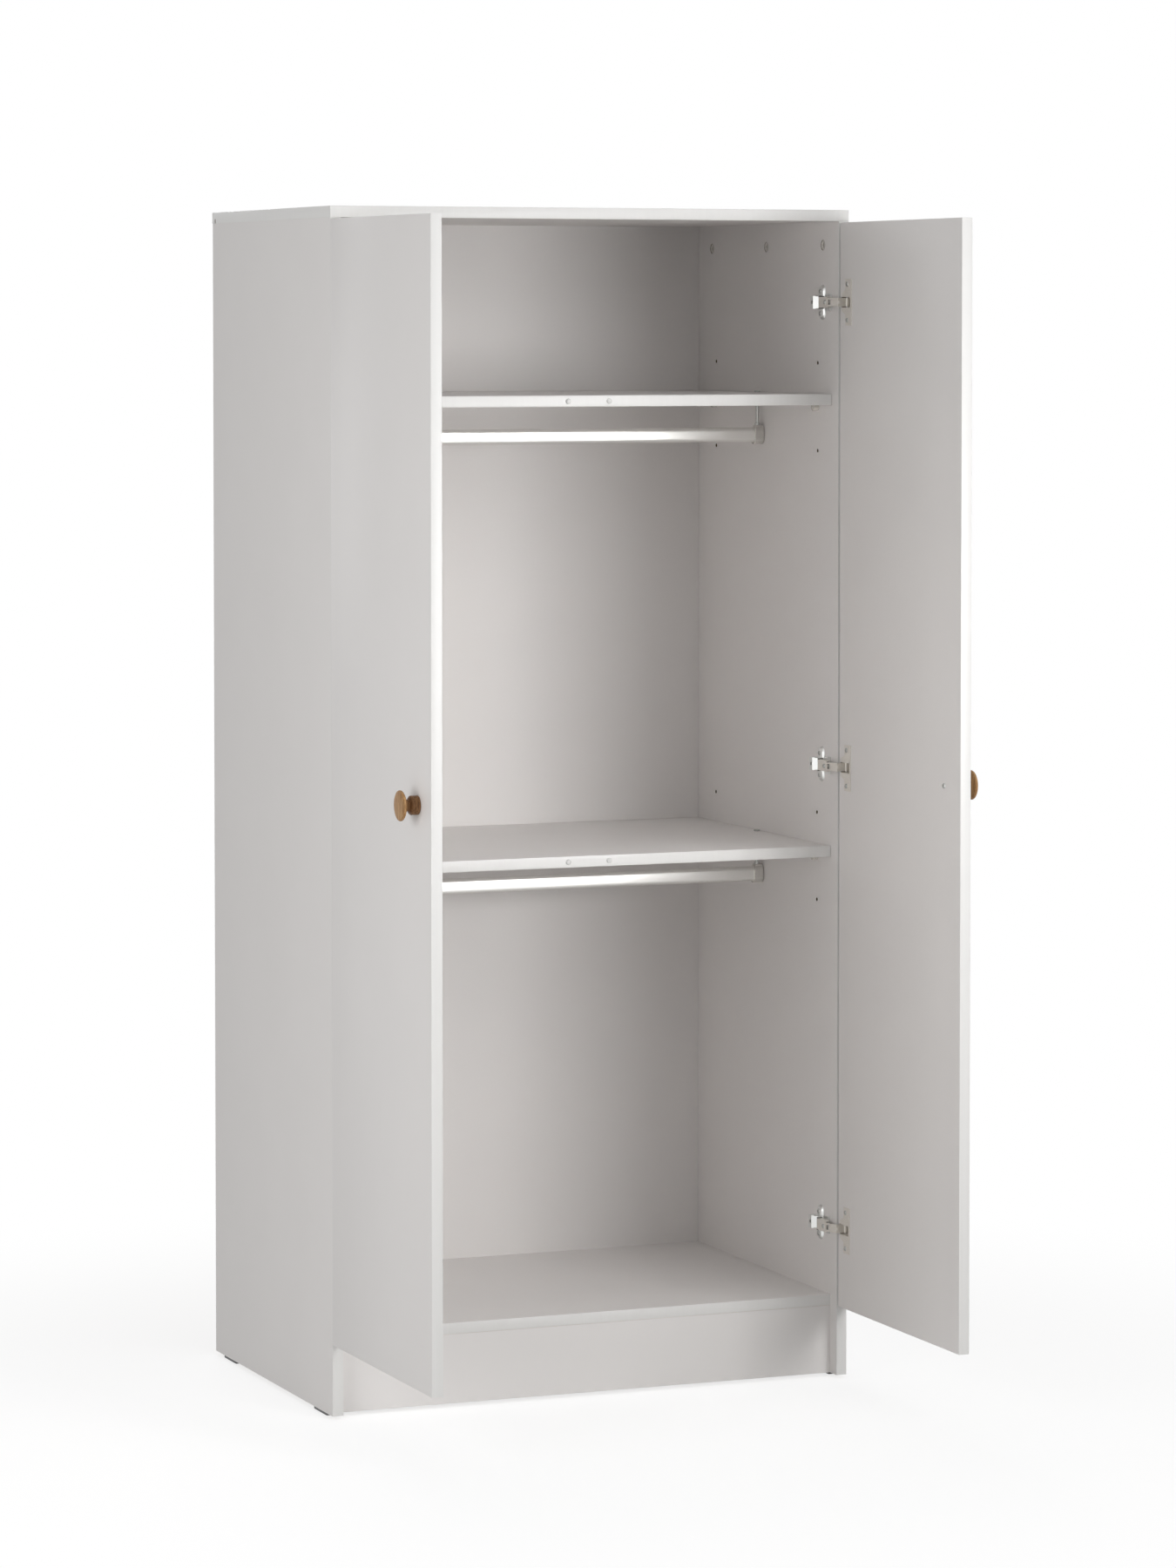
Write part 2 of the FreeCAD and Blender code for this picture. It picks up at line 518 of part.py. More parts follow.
# Two shelves on plug-in supports, each with an oval hanging rail below it
plugs = []
bracket_bolts = []
for name, height in SHELVES.items():
    tools = []
    for side in SIDES:
        plug_x = mirror(side, "plug_pitch / 2")
        tools.append(rod("y", plug_x, "shelf_front - overrun", f"{height} + board / 2",
                         "plug_stem_" + HOLE, "plug_stem + overrun"))
        tools.append(rod("z", mirror(side, "bolt_x"), "rail_y", f"{height} - overrun",
                         "bolt_" + HOLE, "board + 2 * overrun"))
        stem = rod("y", plug_x, "shelf_front", f"{height} + board / 2", "plug_stem_diameter / 2",
                   "plug_stem - pin_end_gap")
        head = rod("y", plug_x, "shelf_front - plug_head", f"{height} + board / 2",
                   "plug_head_diameter / 2", "plug_head")
        plugs.append(fuse([stem, head]))
    half = "inner_x - shelf_end_clearance"
    panel = box(f"-({half})", "shelf_front", height, f"2 * ({half})",
                "back_face - shelf_front - shelf_back_clearance", "board")
    node(cut(panel, tools), name + "_shelf")

    supports = []
    for side in SIDES:
        for column in PIN_COLUMNS:
            axis_z = f"{height} - pin_drop"
            pin = rod("x", across(side, "inner_x", "pin_hole_depth - pin_end_gap"), column, axis_z,
                      "pin_diameter / 2", "pin_hole_depth - pin_end_gap")
            tab = rod("x", across(side, "inner_x - pin_tab_length", "pin_tab_length"), column,
                      axis_z, "pin_tab_diameter / 2", "pin_tab_length")
            flat = box(across(side, "inner_x - pin_tab_length - overrun",
                              "pin_tab_length + 2 * overrun"),
                       f"{column} - pin_tab_diameter", height, "pin_tab_length + 2 * overrun",
                       "2 * pin_tab_diameter", "pin_tab_diameter")
            supports.append(fuse([pin, cut(tab, [flat])]))
    node(group(supports, "supports"), name + "_shelf_supports")

    rail_z = f"{height} - rail_drop - rail_height / 2"
    rail_end = "bracket_x + bracket_depth - bracket_wall"
    tube = oval(f"-({rail_end})", "rail_y", rail_z, f"2 * ({rail_end})", "rail_width", "rail_height")
    bore = oval(f"-({rail_end}) - overrun", "rail_y", rail_z, f"2 * ({rail_end}) + 2 * overrun",
                "rail_width - 2 * rail_wall", "rail_height - 2 * rail_wall")
    node(cut(tube, [bore]), name + "_rail")
    for side in SIDES:
        start = across(side, "bracket_x", "bracket_depth")
        socket = oval(start, "rail_y", rail_z, "bracket_depth", "rail_width + 2 * bracket_wall",
                      "rail_height + 2 * bracket_wall")
        lug = doc.addObject("PartDesign::Body", "lug_body")
        turn = FreeCAD.Rotation(FreeCAD.Vector(0, 0, 1), 180 if side == "left" else 0)
        place(lug, mirror(side, "bracket_x"), "rail_y", rail_z, turn)
        profile = sketch_on(lug, "XZ_Plane", "lug_profile")
        crown = "rail_height / 2 + bracket_wall"
        top = "rail_height / 2 + rail_drop - lug_drop"
        outline(profile, (("0", "0"), ("bracket_depth", "0"), ("bracket_depth", top),
                          ("lug_start", top), ("0", crown)))
        lug.Tip = midplane(lug, "Pad", profile, "lug_width", "lug_pad")
        pocket = oval(across(side, "bracket_x - overrun", "bracket_depth - bracket_wall + overrun"),
                      "rail_y", rail_z, "bracket_depth - bracket_wall + overrun",
                      "rail_width + 2 * fit_clearance", "rail_height + 2 * fit_clearance")
        lug_z = f"{height} - lug_drop"
        hole = rod("z", mirror(side, "bolt_x"), "rail_y", f"{lug_z} - bolt_grip - pin_end_gap",
                   "bolt_" + HOLE, "bolt_grip + pin_end_gap + overrun")
        node(cut(fuse([socket, lug]), [pocket, hole]), f"{name}_{side}_rail_bracket")
        shank = rod("z", mirror(side, "bolt_x"), "rail_y", f"{lug_z} - bolt_grip",
                    "bolt_diameter / 2", "bolt_grip + lug_drop + board")
        collar = rod("z", mirror(side, "bolt_x"), "rail_y", lug_z, "collar_diameter / 2", "collar")
        cap = rod("z", mirror(side, "bolt_x"), "rail_y", f"{height} + board",
                  "bolt_cap_diameter / 2", "bolt_cap")
        bracket_bolts.append(fuse([shank, collar, cap]))
node(group(plugs, "plugs"), "shelf_edge_plugs")
node(group(bracket_bolts, "bracket_bolts"), "rail_bracket_bolts")

# Hinge plates and arms on the sides. The arm is a folded channel that sits on the plate's
# rail against its clip block; its nose runs round the front edge of the side to the pin.
plate_screws = []
arm_screws = []
for side in SIDES:
    turn = FreeCAD.Rotation(FreeCAD.Vector(0, 0, 1), 180)
    if side == "left":
        turn = FreeCAD.Rotation(FreeCAD.Vector(1, 0, 0), 180)
    for name, height in HINGES.items():
        floor = across(side, "plate_top_x", "plate_thickness")
        base = box(floor, "plate_y - plate_front", f"{height} - plate_width / 2", "plate_thickness",
                   "plate_front + plate_rear", "plate_width")
        ears = box(floor, "plate_y - plate_front", f"{height} - ear_width / 2", "plate_thickness",
                   "ear_length", "ear_width")
        rail = box(across(side, "plate_top_x - plate_rail_height", "plate_rail_height"),
                   "plate_y - plate_front", f"{height} - plate_rail_width / 2",
                   "plate_rail_height", "plate_front + plate_rear", "plate_rail_width")
        clip = box(across(side, "arm_top_x", "arm_height - plate_thickness"),
                   "front_y + clip_front", f"{height} - clip_width / 2",
                   "arm_height - plate_thickness",
                   "plate_setback + plate_rear - clip_front", "clip_width")
        tip = "(wing_height - wing_width) / 2"
        wings = [box(floor, "plate_y - wing_width / 2", f"{height} - {tip}", "plate_thickness",
                     "wing_width", "wing_height - wing_width")]
        tools = [rod("x", across(side, "arm_top_x - overrun", "overrun + clip_hole_depth"),
                     "plate_y + plate_rear - clip_hole_setback", height, "clip_hole_diameter / 2",
                     "overrun + clip_hole_depth")]
        for way in ("+", "-"):
            wings.append(rod("x", floor, "plate_y", f"{height} {way} {tip}", "wing_width / 2",
                             "plate_thickness"))
            screw_z = f"{height} {way} plate_screw_pitch / 2"
            tools.append(rod("x", across(side, "plate_top_x - overrun",
                                         "plate_thickness + 2 * overrun"),
                             "plate_y", screw_z, "hinge_screw_" + HOLE,
                             "plate_thickness + 2 * overrun"))
            length = "plate_thickness + hinge_screw_length - pin_end_gap"
            shank = rod("x", across(side, "plate_top_x", length), "plate_y", screw_z,
                        "hinge_screw_diameter / 2", length)
            head = rod("x", across(side, "plate_top_x - hinge_screw_head", "hinge_screw_head"),
                       "plate_y", screw_z, "hinge_screw_head_diameter / 2", "hinge_screw_head")
            plate_screws.append(fuse([shank, head]))
        node(cut(fuse([base, ears, rail, clip] + wings), tools), f"{side}_{name}_hinge_plate")

        body = doc.addObject("PartDesign::Body", "arm_body")
        place(body, mirror(side, "overall_width / 2"), "front_y", height, turn)
        profile = sketch_on(body, "XY_Plane", "arm_block")
        seat = "board + plate_thickness"
        outline(profile, ((seat, "-clip_front"), ("arm_top", "-clip_front"),
                          ("arm_top", "-arm_front"),
                          (seat + " + arm_sheet", "-arm_front"),
                          (seat, "-arm_front - arm_height / 2")))
        midplane(body, "Pad", profile, "arm_width", "arm_pad")
        channel = sketch_on(body, "XY_Plane", "arm_channel")
        outline(channel, ((seat + " - overrun", "-clip_front - overrun"),
                          ("arm_top - arm_sheet", "-clip_front - overrun"),
                          ("arm_top - arm_sheet", "-arm_front + overrun"),
                          (seat + " - overrun", "-arm_front + overrun")))
        midplane(body, "Pocket", channel, "arm_width - 2 * arm_wall", "arm_hollow")
        strip = sketch_on(body, "XY_Plane", "nose_strip")
        elbow = "axis_inset + nose_elbow"
        outline(strip, (("arm_top - arm_sheet", "-arm_front - arm_sheet"),
                        ("arm_top", "-arm_front - arm_sheet"),
                        ("arm_top", "-nose_bend"),
                        (elbow + " + arm_sheet / 2", "axis_ahead + arm_sheet / 2"),
                        ("axis_inset", "axis_ahead + arm_sheet / 2"),
                        ("axis_inset", "axis_ahead - arm_sheet / 2"),
                        (elbow + " - arm_sheet / 2", "axis_ahead - arm_sheet / 2"),
                        ("arm_top - arm_sheet", "-nose_bend")))
        midplane(body, "Pad", strip, "nose_width", "nose_pad")
        eye = sketch_on(body, "XY_Plane", "nose_eye")
        circle(eye, "axis_inset", "axis_ahead", "nose_eye_diameter / 2")
        midplane(body, "Pad", eye, "nose_width", "eye_pad")
        bore = sketch_on(body, "XY_Plane", "pin_bore")
        circle(bore, "axis_inset", "axis_ahead", "hinge_pin_diameter / 2 + running_clearance")
        body.Tip = midplane(body, "Pocket", bore, "nose_width + 2 * overrun", "pin_pocket")
        tools = [box(across(side, "arm_top_x - overrun", "arm_sheet + 2 * overrun"),
                     "front_y + arm_window_setback - arm_window_length / 2",
                     f"{height} - arm_window_width / 2", "arm_sheet + 2 * overrun",
                     "arm_window_length", "arm_window_width")]
        screw_y = "front_y + adjuster_setback"
        tools.append(rod("x", across(side, "arm_top_x - overrun", "arm_sheet + 2 * overrun"),
                         screw_y, height, "arm_screw_" + HOLE, "arm_sheet + 2 * overrun"))
        shank = rod("x", across(side, "arm_top_x", "arm_screw_length"), screw_y, height,
                    "arm_screw_diameter / 2", "arm_screw_length")
        head = rod("x", across(side, "arm_top_x - arm_screw_head", "arm_screw_head"), screw_y,
                   height, "arm_screw_head_diameter / 2", "arm_screw_head")
        arm_screws.append(fuse([shank, head]))
        node(cut(body, tools), f"{side}_{name}_hinge_arm")
node(group(plate_screws, "plate_screws"), "hinge_plate_screws")
node(group(arm_screws, "arm_screws"), "hinge_arm_screws")

# The doors, shown open, with their hinge cups, pins, cup screws and turned knobs
for side in SIDES:
    tools = []
    cup_screws = []
    pins = []
    for name, height in HINGES.items():
        tools.append(rod("x", across(side, "door_inner_x - overrun", "overrun + cup_depth"),
                         "cup_y", height, "cup_diameter / 2", "overrun + cup_depth"))
        barrel = rod("x", across(side, "door_inner_x", "cup_depth - cup_floor_gap"), "cup_y", height,
                     "cup_diameter / 2 - fit_clearance", "cup_depth - cup_floor_gap")
        flange = doc.addObject("PartDesign::Body", "flange_body")
        place(flange, across(side, "door_inner_x - flange_thickness", "flange_thickness"), "cup_y",
              height)
        profile = sketch_on(flange, "YZ_Plane", "flange_profile")
        half = [("flange_near", "flange_waist / 2"), ("flange_end", "flange_shoulder / 2"),
                ("flange_end", "flange_height / 2"), ("-flange_far", "flange_height / 2")]
        outline(profile, half + [(across_flange, f"-{up}") for across_flange, up in half[::-1]])
        flange.Tip = flange.newObject("PartDesign::Pad", "flange_pad")
        flange.Tip.Profile = profile
        flange.Tip.setExpression("Length", ex("flange_thickness"))
        holes = [box(across(side, "door_inner_x - flange_thickness - overrun",
                            "flange_thickness + overrun + cup_slot_depth"),
                     "cup_y - cup_diameter / 2 + cup_slot_wall",
                     f"{height} - cup_slot_width / 2",
                     "flange_thickness + overrun + cup_slot_depth",
                     "cup_diameter - 2 * cup_slot_wall", "cup_slot_width")]
        for way in ("+", "-"):
            screw_y = "cup_y - cup_screw_offset"
            screw_z = f"{height} {way} cup_screw_pitch / 2"
            tools.append(rod("x", across(side, "door_inner_x - overrun",
                                         "overrun + hinge_screw_length"),
                             screw_y, screw_z, "hinge_screw_" + HOLE,
                             "overrun + hinge_screw_length"))
            holes.append(rod("x", across(side, "door_inner_x - flange_thickness - overrun",
                                         "flange_thickness + 2 * overrun"),
                             screw_y, screw_z, "hinge_screw_" + HOLE,
                             "flange_thickness + 2 * overrun"))
            face = "door_inner_x - flange_thickness"
            length = "flange_thickness + hinge_screw_length - pin_end_gap"
            shank = rod("x", across(side, face, length), screw_y, screw_z,
                        "hinge_screw_diameter / 2", length)
            head = rod("x", across(side, face + " - hinge_screw_head", "hinge_screw_head"), screw_y,
                       screw_z, "hinge_screw_head_diameter / 2", "hinge_screw_head")
            cup_screws.append(fuse([shank, head]))
        pin_hole = rod("z", mirror(side, "axis_x"), "axis_y", f"{height} - hinge_pin_length / 2",
                       "hinge_pin_" + HOLE, "hinge_pin_length")
        node(cut(fuse([barrel, flange]), holes + [pin_hole]),
             f"{side}_{name}_hinge_cup")
        pins.append(rod("z", mirror(side, "axis_x"), "axis_y", f"{height} - hinge_pin_length / 2",
                        "hinge_pin_diameter / 2", "hinge_pin_length"))

    tools.append(rod("x", across(side, "door_inner_x - overrun", "board + 2 * overrun"), "knob_y",
                     "knob_z", "knob_screw_" + HOLE, "board + 2 * overrun"))
    panel = box(across(side, "door_inner_x", "board"), "door_edge_y - door_width", "door_bottom",
                "board", "door_width", "door_height")
    node(cut(panel, tools), side + "_door")
    node(group(cup_screws, "cup_screws"), side + "_cup_screws")
    node(group(pins, "pins"), side + "_hinge_pins")

    # The knob is turned from solid wood and drawn on by a screw from inside the door
    body = doc.addObject("PartDesign::Body", "knob_body")
    turn = FreeCAD.Rotation(FreeCAD.Vector(0, 0, 1), 180 if side == "left" else 0)
    place(body, mirror(side, "door_inner_x + board"), "knob_y", "knob_z", turn)
    profile = sketch_on(body, "XY_Plane", "knob_profile")
    corners = [("0", "0")]
    for radius_share, length_share in KNOB_SHARES:
        corners.append((f"{length_share} * knob_length", f"{radius_share} * knob_diameter / 2"))
    corners.append(("knob_length", "0"))
    outline(profile, corners)
    lathe = body.newObject("PartDesign::Revolution", "knob_turning")
    lathe.Profile = profile
    lathe.ReferenceAxis = (profile, ["H_Axis"])
    lathe.Angle = 360
    body.Tip = lathe
    depth = "knob_screw_grip + pin_end_gap + overrun"
    screw_hole = rod("x", across(side, "door_inner_x + board - overrun", depth), "knob_y", "knob_z",
                     "knob_screw_" + HOLE, depth)
    node(cut(body, [screw_hole]), side + "_knob")
    length = "board + knob_screw_grip"
    shank = rod("x", across(side, "door_inner_x", length), "knob_y", "knob_z",
                "knob_screw_diameter / 2", length)
    head = rod("x", across(side, "door_inner_x - knob_screw_head", "knob_screw_head"), "knob_y",
               "knob_z", "knob_screw_head_diameter / 2", "knob_screw_head")
    node(fuse([shank, head]), side + "_knob_screw")

doc.recompute()

failed = [item.Label for item in doc.Objects if {"Invalid", "Error"} & set(item.State)]
if failed:
    raise RuntimeError("not built: " + ", ".join(failed))
for item in NODES:
    if item.Shape.isNull() or not item.Shape.isValid() or not item.Shape.Solids:
        raise RuntimeError("no sound shape: " + item.Label)

os.makedirs("parts", exist_ok=True)
for item in NODES:
    item.Shape.exportStep(f"parts/{item.Label}.step")
print(len(NODES), "nodes,", sum(len(item.Shape.Solids) for item in NODES), "solids")
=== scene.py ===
import math

import bmesh
import bpy
from mathutils import Matrix, Vector


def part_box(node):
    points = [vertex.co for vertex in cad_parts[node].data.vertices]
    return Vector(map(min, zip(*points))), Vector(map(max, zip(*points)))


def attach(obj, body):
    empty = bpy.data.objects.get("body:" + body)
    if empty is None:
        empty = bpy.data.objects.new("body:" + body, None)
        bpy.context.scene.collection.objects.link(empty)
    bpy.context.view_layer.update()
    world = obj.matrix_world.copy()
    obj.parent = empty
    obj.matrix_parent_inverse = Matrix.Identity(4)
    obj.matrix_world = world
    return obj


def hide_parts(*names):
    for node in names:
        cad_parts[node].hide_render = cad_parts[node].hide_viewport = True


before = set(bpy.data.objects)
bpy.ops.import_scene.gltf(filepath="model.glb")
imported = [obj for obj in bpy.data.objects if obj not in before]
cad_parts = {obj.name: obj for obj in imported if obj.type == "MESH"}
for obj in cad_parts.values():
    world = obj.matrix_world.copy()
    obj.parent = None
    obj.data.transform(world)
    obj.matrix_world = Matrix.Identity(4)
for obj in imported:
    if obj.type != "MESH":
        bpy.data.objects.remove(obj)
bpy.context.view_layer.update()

# The boards of the carcass and the doors: 16 mm chipboard with white melamine pressed on both faces.
# Edges that show are closed with a thin plastic band, rounded off a little after gluing; rear and lower
# edges are left as sawn. The fittings' holes are drilled through the melamine into bare chipboard.
MM = 0.001
TOUCH = 0.01 * MM
WELD = TOUCH / 4
FLAT = math.radians(0.2)
CREASE = math.radians(35)
BAND_ROUND = 0.5 * MM


def linear(code):
    """The linear colour of an sRGB hex value."""
    shares = [int(code[start:start + 2], 16) / 255 for start in (0, 2, 4)]
    return [s / 12.92 if s <= 0.04045 else ((s + 0.055) / 1.055) ** 2.4 for s in shares] + [1]


def wire(tree, node, inputs):
    """Sets a node's inputs, or links them where the value is another node's output."""
    for key, value in inputs.items():
        if isinstance(value, bpy.types.NodeSocket):
            tree.links.new(value, node.inputs[key])
        else:
            node.inputs[key].default_value = value


def add(tree, kind, inputs=None, **settings):
    """A shader node with its settings, values and links."""
    node = tree.nodes.new("ShaderNode" + kind)
    for key, value in settings.items():
        setattr(node, key, value)
    wire(tree, node, inputs or {})
    return node


def finish(name):
    """A new material with its tree, its shader and the piece's own coordinates."""
    material = bpy.data.materials.new(name)
    material.use_nodes = True
    tree = material.node_tree
    where = add(tree, "TexCoord").outputs["Object"]
    return material, tree, tree.nodes["Principled BSDF"], where


# Melamine laminate: resin paper pressed against a finely pearled steel sheet. The eye sees an even, warm
# white with a satin sheen. The pearls are 0.7 mm in life and are drawn at 3 mm, so that they show.
laminate, tree, shader, where = finish("melamine_laminate")
clouds = add(tree, "TexNoise", {"Vector": where, "Scale": 1 / (140 * MM), "Detail": 3.0})
pearls = add(tree, "TexNoise", {"Vector": where, "Scale": 1 / (3 * MM), "Detail": 2.0})
tone = add(tree, "Mix", {0: clouds.outputs["Fac"], 6: linear("ECE9E7"), 7: linear("F0EDEB")},
           data_type="RGBA")
satin = add(tree, "MapRange", {"Value": pearls.outputs["Fac"], "To Min": 0.40, "To Max": 0.52})
relief = add(tree, "Bump", {"Height": pearls.outputs["Fac"], "Distance": 0.03 * MM})
wire(tree, shader, {"Base Color": tone.outputs[2], "Roughness": satin.outputs["Result"],
                    "Normal": relief.outputs["Normal"]})

# Edge band: thin white ABS, drawn through a die. The eye sees a strip that is smoother and a little
# cooler than the melamine, with faint streaks along it.
band, tree, shader, where = finish("edge_band_abs")
drawn = add(tree, "Mapping", {"Vector": where, "Scale": (1, 1, 0.04)})
streaks = add(tree, "TexNoise", {"Vector": drawn.outputs["Vector"], "Scale": 1 / (5 * MM)})
tone = add(tree, "Mix", {0: streaks.outputs["Fac"], 6: linear("EBEAE8"), 7: linear("EFEEEC")},
           data_type="RGBA")
sheen = add(tree, "MapRange", {"Value": streaks.outputs["Fac"], "To Min": 0.30, "To Max": 0.42})
wire(tree, shader, {"Base Color": tone.outputs[2], "Roughness": sheen.outputs["Result"]})

# Sawn chipboard: pressed flakes of 2 to 4 mm. The eye sees pale chips in brown glue, rough and matt.
chipboard, tree, shader, where = finish("sawn_chipboard")
flakes = add(tree, "TexVoronoi", {"Vector": where, "Scale": 1 / (3.2 * MM), "Randomness": 1.0})
flake = add(tree, "SeparateColor", {"Color": flakes.outputs["Color"]})
tone = add(tree, "Mix", {0: flake.outputs["Red"], 6: linear("A98A62"), 7: linear("D8C29A")},
           data_type="RGBA")
relief = add(tree, "Bump", {"Height": flakes.outputs["Distance"], "Distance": 0.3 * MM})
wire(tree, shader, {"Base Color": tone.outputs[2], "Roughness": 0.85,
                    "Normal": relief.outputs["Normal"]})

# Hole walls: the walls of holes and grooves in the chipboard, coloured a much darker brown than the sawn
# chipboard as painted shade for the inside of the holes. The eye sees a dark brown.
hole_wall_shade, tree, shader, where = finish("hole_wall_painted_shade")
hole_mottle = add(tree, "TexNoise", {"Vector": where, "Scale": 1 / (1.5 * MM), "Detail": 4.0})
tone = add(tree, "Mix", {0: hole_mottle.outputs["Fac"], 6: linear("54483C"), 7: linear("86745E")},
           data_type="RGBA")
wire(tree, shader, {"Base Color": tone.outputs[2], "Roughness": 0.95})


def only(piece):
    """Selects this piece alone and makes it active."""
    bpy.ops.object.select_all(action="DESELECT")
    piece.select_set(True)
    bpy.context.view_layer.objects.active = piece


def carve(piece, *cutters):
    """Cuts the cutters out of the piece and removes them."""
    for cutter in cutters:
        only(piece)
        cut = piece.modifiers.new("cut", "BOOLEAN")
        cut.operation = "DIFFERENCE"
        cut.solver = "EXACT"
        cut.object = cutter
        bpy.ops.object.modifier_apply(modifier=cut.name)
        bpy.data.objects.remove(cutter)


def solid_copy(node, name, *cutters):
    """The CAD node's shape as a new piece, welded, cut by the cutters, with flat faces made whole."""
    piece = bpy.data.objects.new(name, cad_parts[node].data.copy())
    piece.data.materials.clear()
    bpy.context.scene.collection.objects.link(piece)
    only(piece)
    bpy.ops.object.mode_set(mode="EDIT")
    bpy.ops.mesh.select_all(action="SELECT")
    bpy.ops.mesh.remove_doubles(threshold=WELD)
    bpy.ops.object.mode_set(mode="OBJECT")
    bpy.ops.mesh.customdata_custom_splitnormals_clear()
    carve(piece, *cutters)
    bpy.ops.object.mode_set(mode="EDIT")
    bpy.ops.mesh.select_all(action="SELECT")
    bpy.ops.mesh.dissolve_limited(angle_limit=FLAT)
    bpy.ops.object.mode_set(mode="OBJECT")
    return piece


def smooth(piece):
    """Shades the piece smooth, apart from its creases."""
    only(piece)
    bpy.ops.object.shade_smooth_by_angle(angle=CREASE)


def stand_for(piece, body, slot, *nodes):
    """The piece rides on a body in place of CAD nodes. The slot is not used."""
    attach(piece, body)
    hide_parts(*nodes)


def sides_of(point, low, high):
    """Names of the box's sides that a point lies on."""
    names = set()
    for axis, letter in enumerate("XYZ"):
        if abs(point[axis] - low[axis]) < TOUCH:
            names.add("-" + letter)
        if abs(point[axis] - high[axis]) < TOUCH:
            names.add("+" + letter)
    return names


# Which edges of a board are banded and which are left sawn, by the way they face
EDGES = {
    "left_side_panel": ("-Y", "+Y +Z -Z"),
    "right_side_panel": ("-Y", "+Y +Z -Z"),
    "top_panel": ("-Y -X +X", "+Y"),
    "bottom_panel": ("-Y", "+Y -X +X"),
    "plinth": ("", "-X +X +Z -Z"),
    "upper_shelf": ("-Y", "+Y -X +X"),
    "lower_shelf": ("-Y", "+Y -X +X"),
    "left_door": ("-Y +Y -Z +Z", ""),
    "right_door": ("-Y +Y -Z +Z", ""),
}
BOARD_LAYERS = (laminate, band, chipboard, hole_wall_shade)
for node, (banded, sawn) in EDGES.items():
    low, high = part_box(node)
    banded, sawn = set(banded.split()), set(sawn.split())
    piece = solid_copy(node, node + "_board")
    bpy.ops.object.mode_set(mode="EDIT")
    bpy.ops.mesh.select_all(action="DESELECT")
    mesh = bmesh.from_edit_mesh(piece.data)
    for edge in mesh.edges:
        shared = sides_of(edge.verts[0].co, low, high) & sides_of(edge.verts[1].co, low, high)
        edge.select = len(shared) == 2 and bool(shared & banded)
    bmesh.update_edit_mesh(piece.data)
    bpy.ops.mesh.bevel(offset=BAND_ROUND, segments=3, affect="EDGES", clamp_overlap=False)
    bpy.ops.object.mode_set(mode="OBJECT")
    for material in BOARD_LAYERS:
        piece.data.materials.append(material)
    for face in piece.data.polygons:
        found = sides_of(face.center, low, high)
        edge_gap = sum(min(face.center[axis] - low[axis], high[axis] - face.center[axis])
                       < BAND_ROUND for axis in range(3))
        if found & banded or (not found and edge_gap >= 2):
            layer = band
        # Hole and groove walls take the darker hole finish, which is painted shade for their insides.
        elif not found:
            layer = hole_wall_shade
        elif found & sawn:
            layer = chipboard
        else:
            layer = laminate
        face.material_index = BOARD_LAYERS.index(layer)
    smooth(piece)
    stand_for(piece, node if node.endswith("door") else "carcass", "white_laminate", node)

# The back: one sheet of 3 mm hardboard, slid into grooves in the sides and the top and nailed to the
# bottom. It is lacquered white on the inside, and its rear is left as bare brown fibre.
# Lacquered hardboard: rolled with thin white lacquer. The eye sees a flat white with a fine roller grain.
lacquer, tree, shader, where = finish("lacquered_hardboard")
rolled = add(tree, "TexNoise", {"Vector": where, "Scale": 1 / (4 * MM), "Detail": 3.0})
clouds = add(tree, "TexNoise", {"Vector": where, "Scale": 1 / (200 * MM), "Detail": 2.0})
tone = add(tree, "Mix", {0: clouds.outputs["Fac"], 6: linear("EBE8E6"), 7: linear("EFECEA")},
           data_type="RGBA")
relief = add(tree, "Bump", {"Height": rolled.outputs["Fac"], "Distance": 0.05 * MM})
wire(tree, shader, {"Base Color": tone.outputs[2], "Roughness": 0.55,
                    "Normal": relief.outputs["Normal"]})

# Bare hardboard: pressed wood pulp. The eye sees a mottled, matt brown with a screen's roughness.
hardboard, tree, shader, where = finish("bare_hardboard")
pulp = add(tree, "TexNoise", {"Vector": where, "Scale": 1 / (6 * MM), "Detail": 6.0,
                              "Roughness": 0.7})
tone = add(tree, "Mix", {0: pulp.outputs["Fac"], 6: linear("7A5A3C"), 7: linear("A8845C")},
           data_type="RGBA")
relief = add(tree, "Bump", {"Height": pulp.outputs["Fac"], "Distance": 0.25 * MM})
wire(tree, shader, {"Base Color": tone.outputs[2], "Roughness": 0.8,
                    "Normal": relief.outputs["Normal"]})
FACING_FRONT = -0.9
piece = solid_copy("back_panel", "back_sheet")
piece.data.materials.append(lacquer)
piece.data.materials.append(hardboard)
for face in piece.data.polygons:
    face.material_index = 0 if face.normal.y < FACING_FRONT else 1
smooth(piece)
stand_for(piece, "carcass", "back_board", "back_panel")

# Cam locks: zinc castings pressed into round pockets in the sides and under the bottom. A half turn of
# a screwdriver in the cross recess draws the boards together.
# Cast zinc: tumbled after casting. The eye sees a pale warm grey, half matt, with a fine grain.
zinc, tree, shader, where = finish("cast_zinc")
grain = add(tree, "TexNoise", {"Vector": where, "Scale": 1 / (2 * MM), "Detail": 3.0})
tone = add(tree, "Mix", {0: grain.outputs["Fac"], 6: linear("D6D3CE"), 7: linear("E2DFDA")},
           data_type="RGBA")
rough = add(tree, "MapRange", {"Value": grain.outputs["Fac"], "To Min": 0.36, "To Max": 0.46})
wire(tree, shader, {"Base Color": tone.outputs[2], "Metallic": 0.55,
                    "Roughness": rough.outputs["Result"]})
SIDES = {"left": -1, "right": 1}
inner_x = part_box("right_side_panel")[0].x
front_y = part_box("right_side_panel")[0].y
top_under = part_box("top_panel")[0].z
bottom_under, bottom_top = (corner.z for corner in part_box("bottom_panel"))


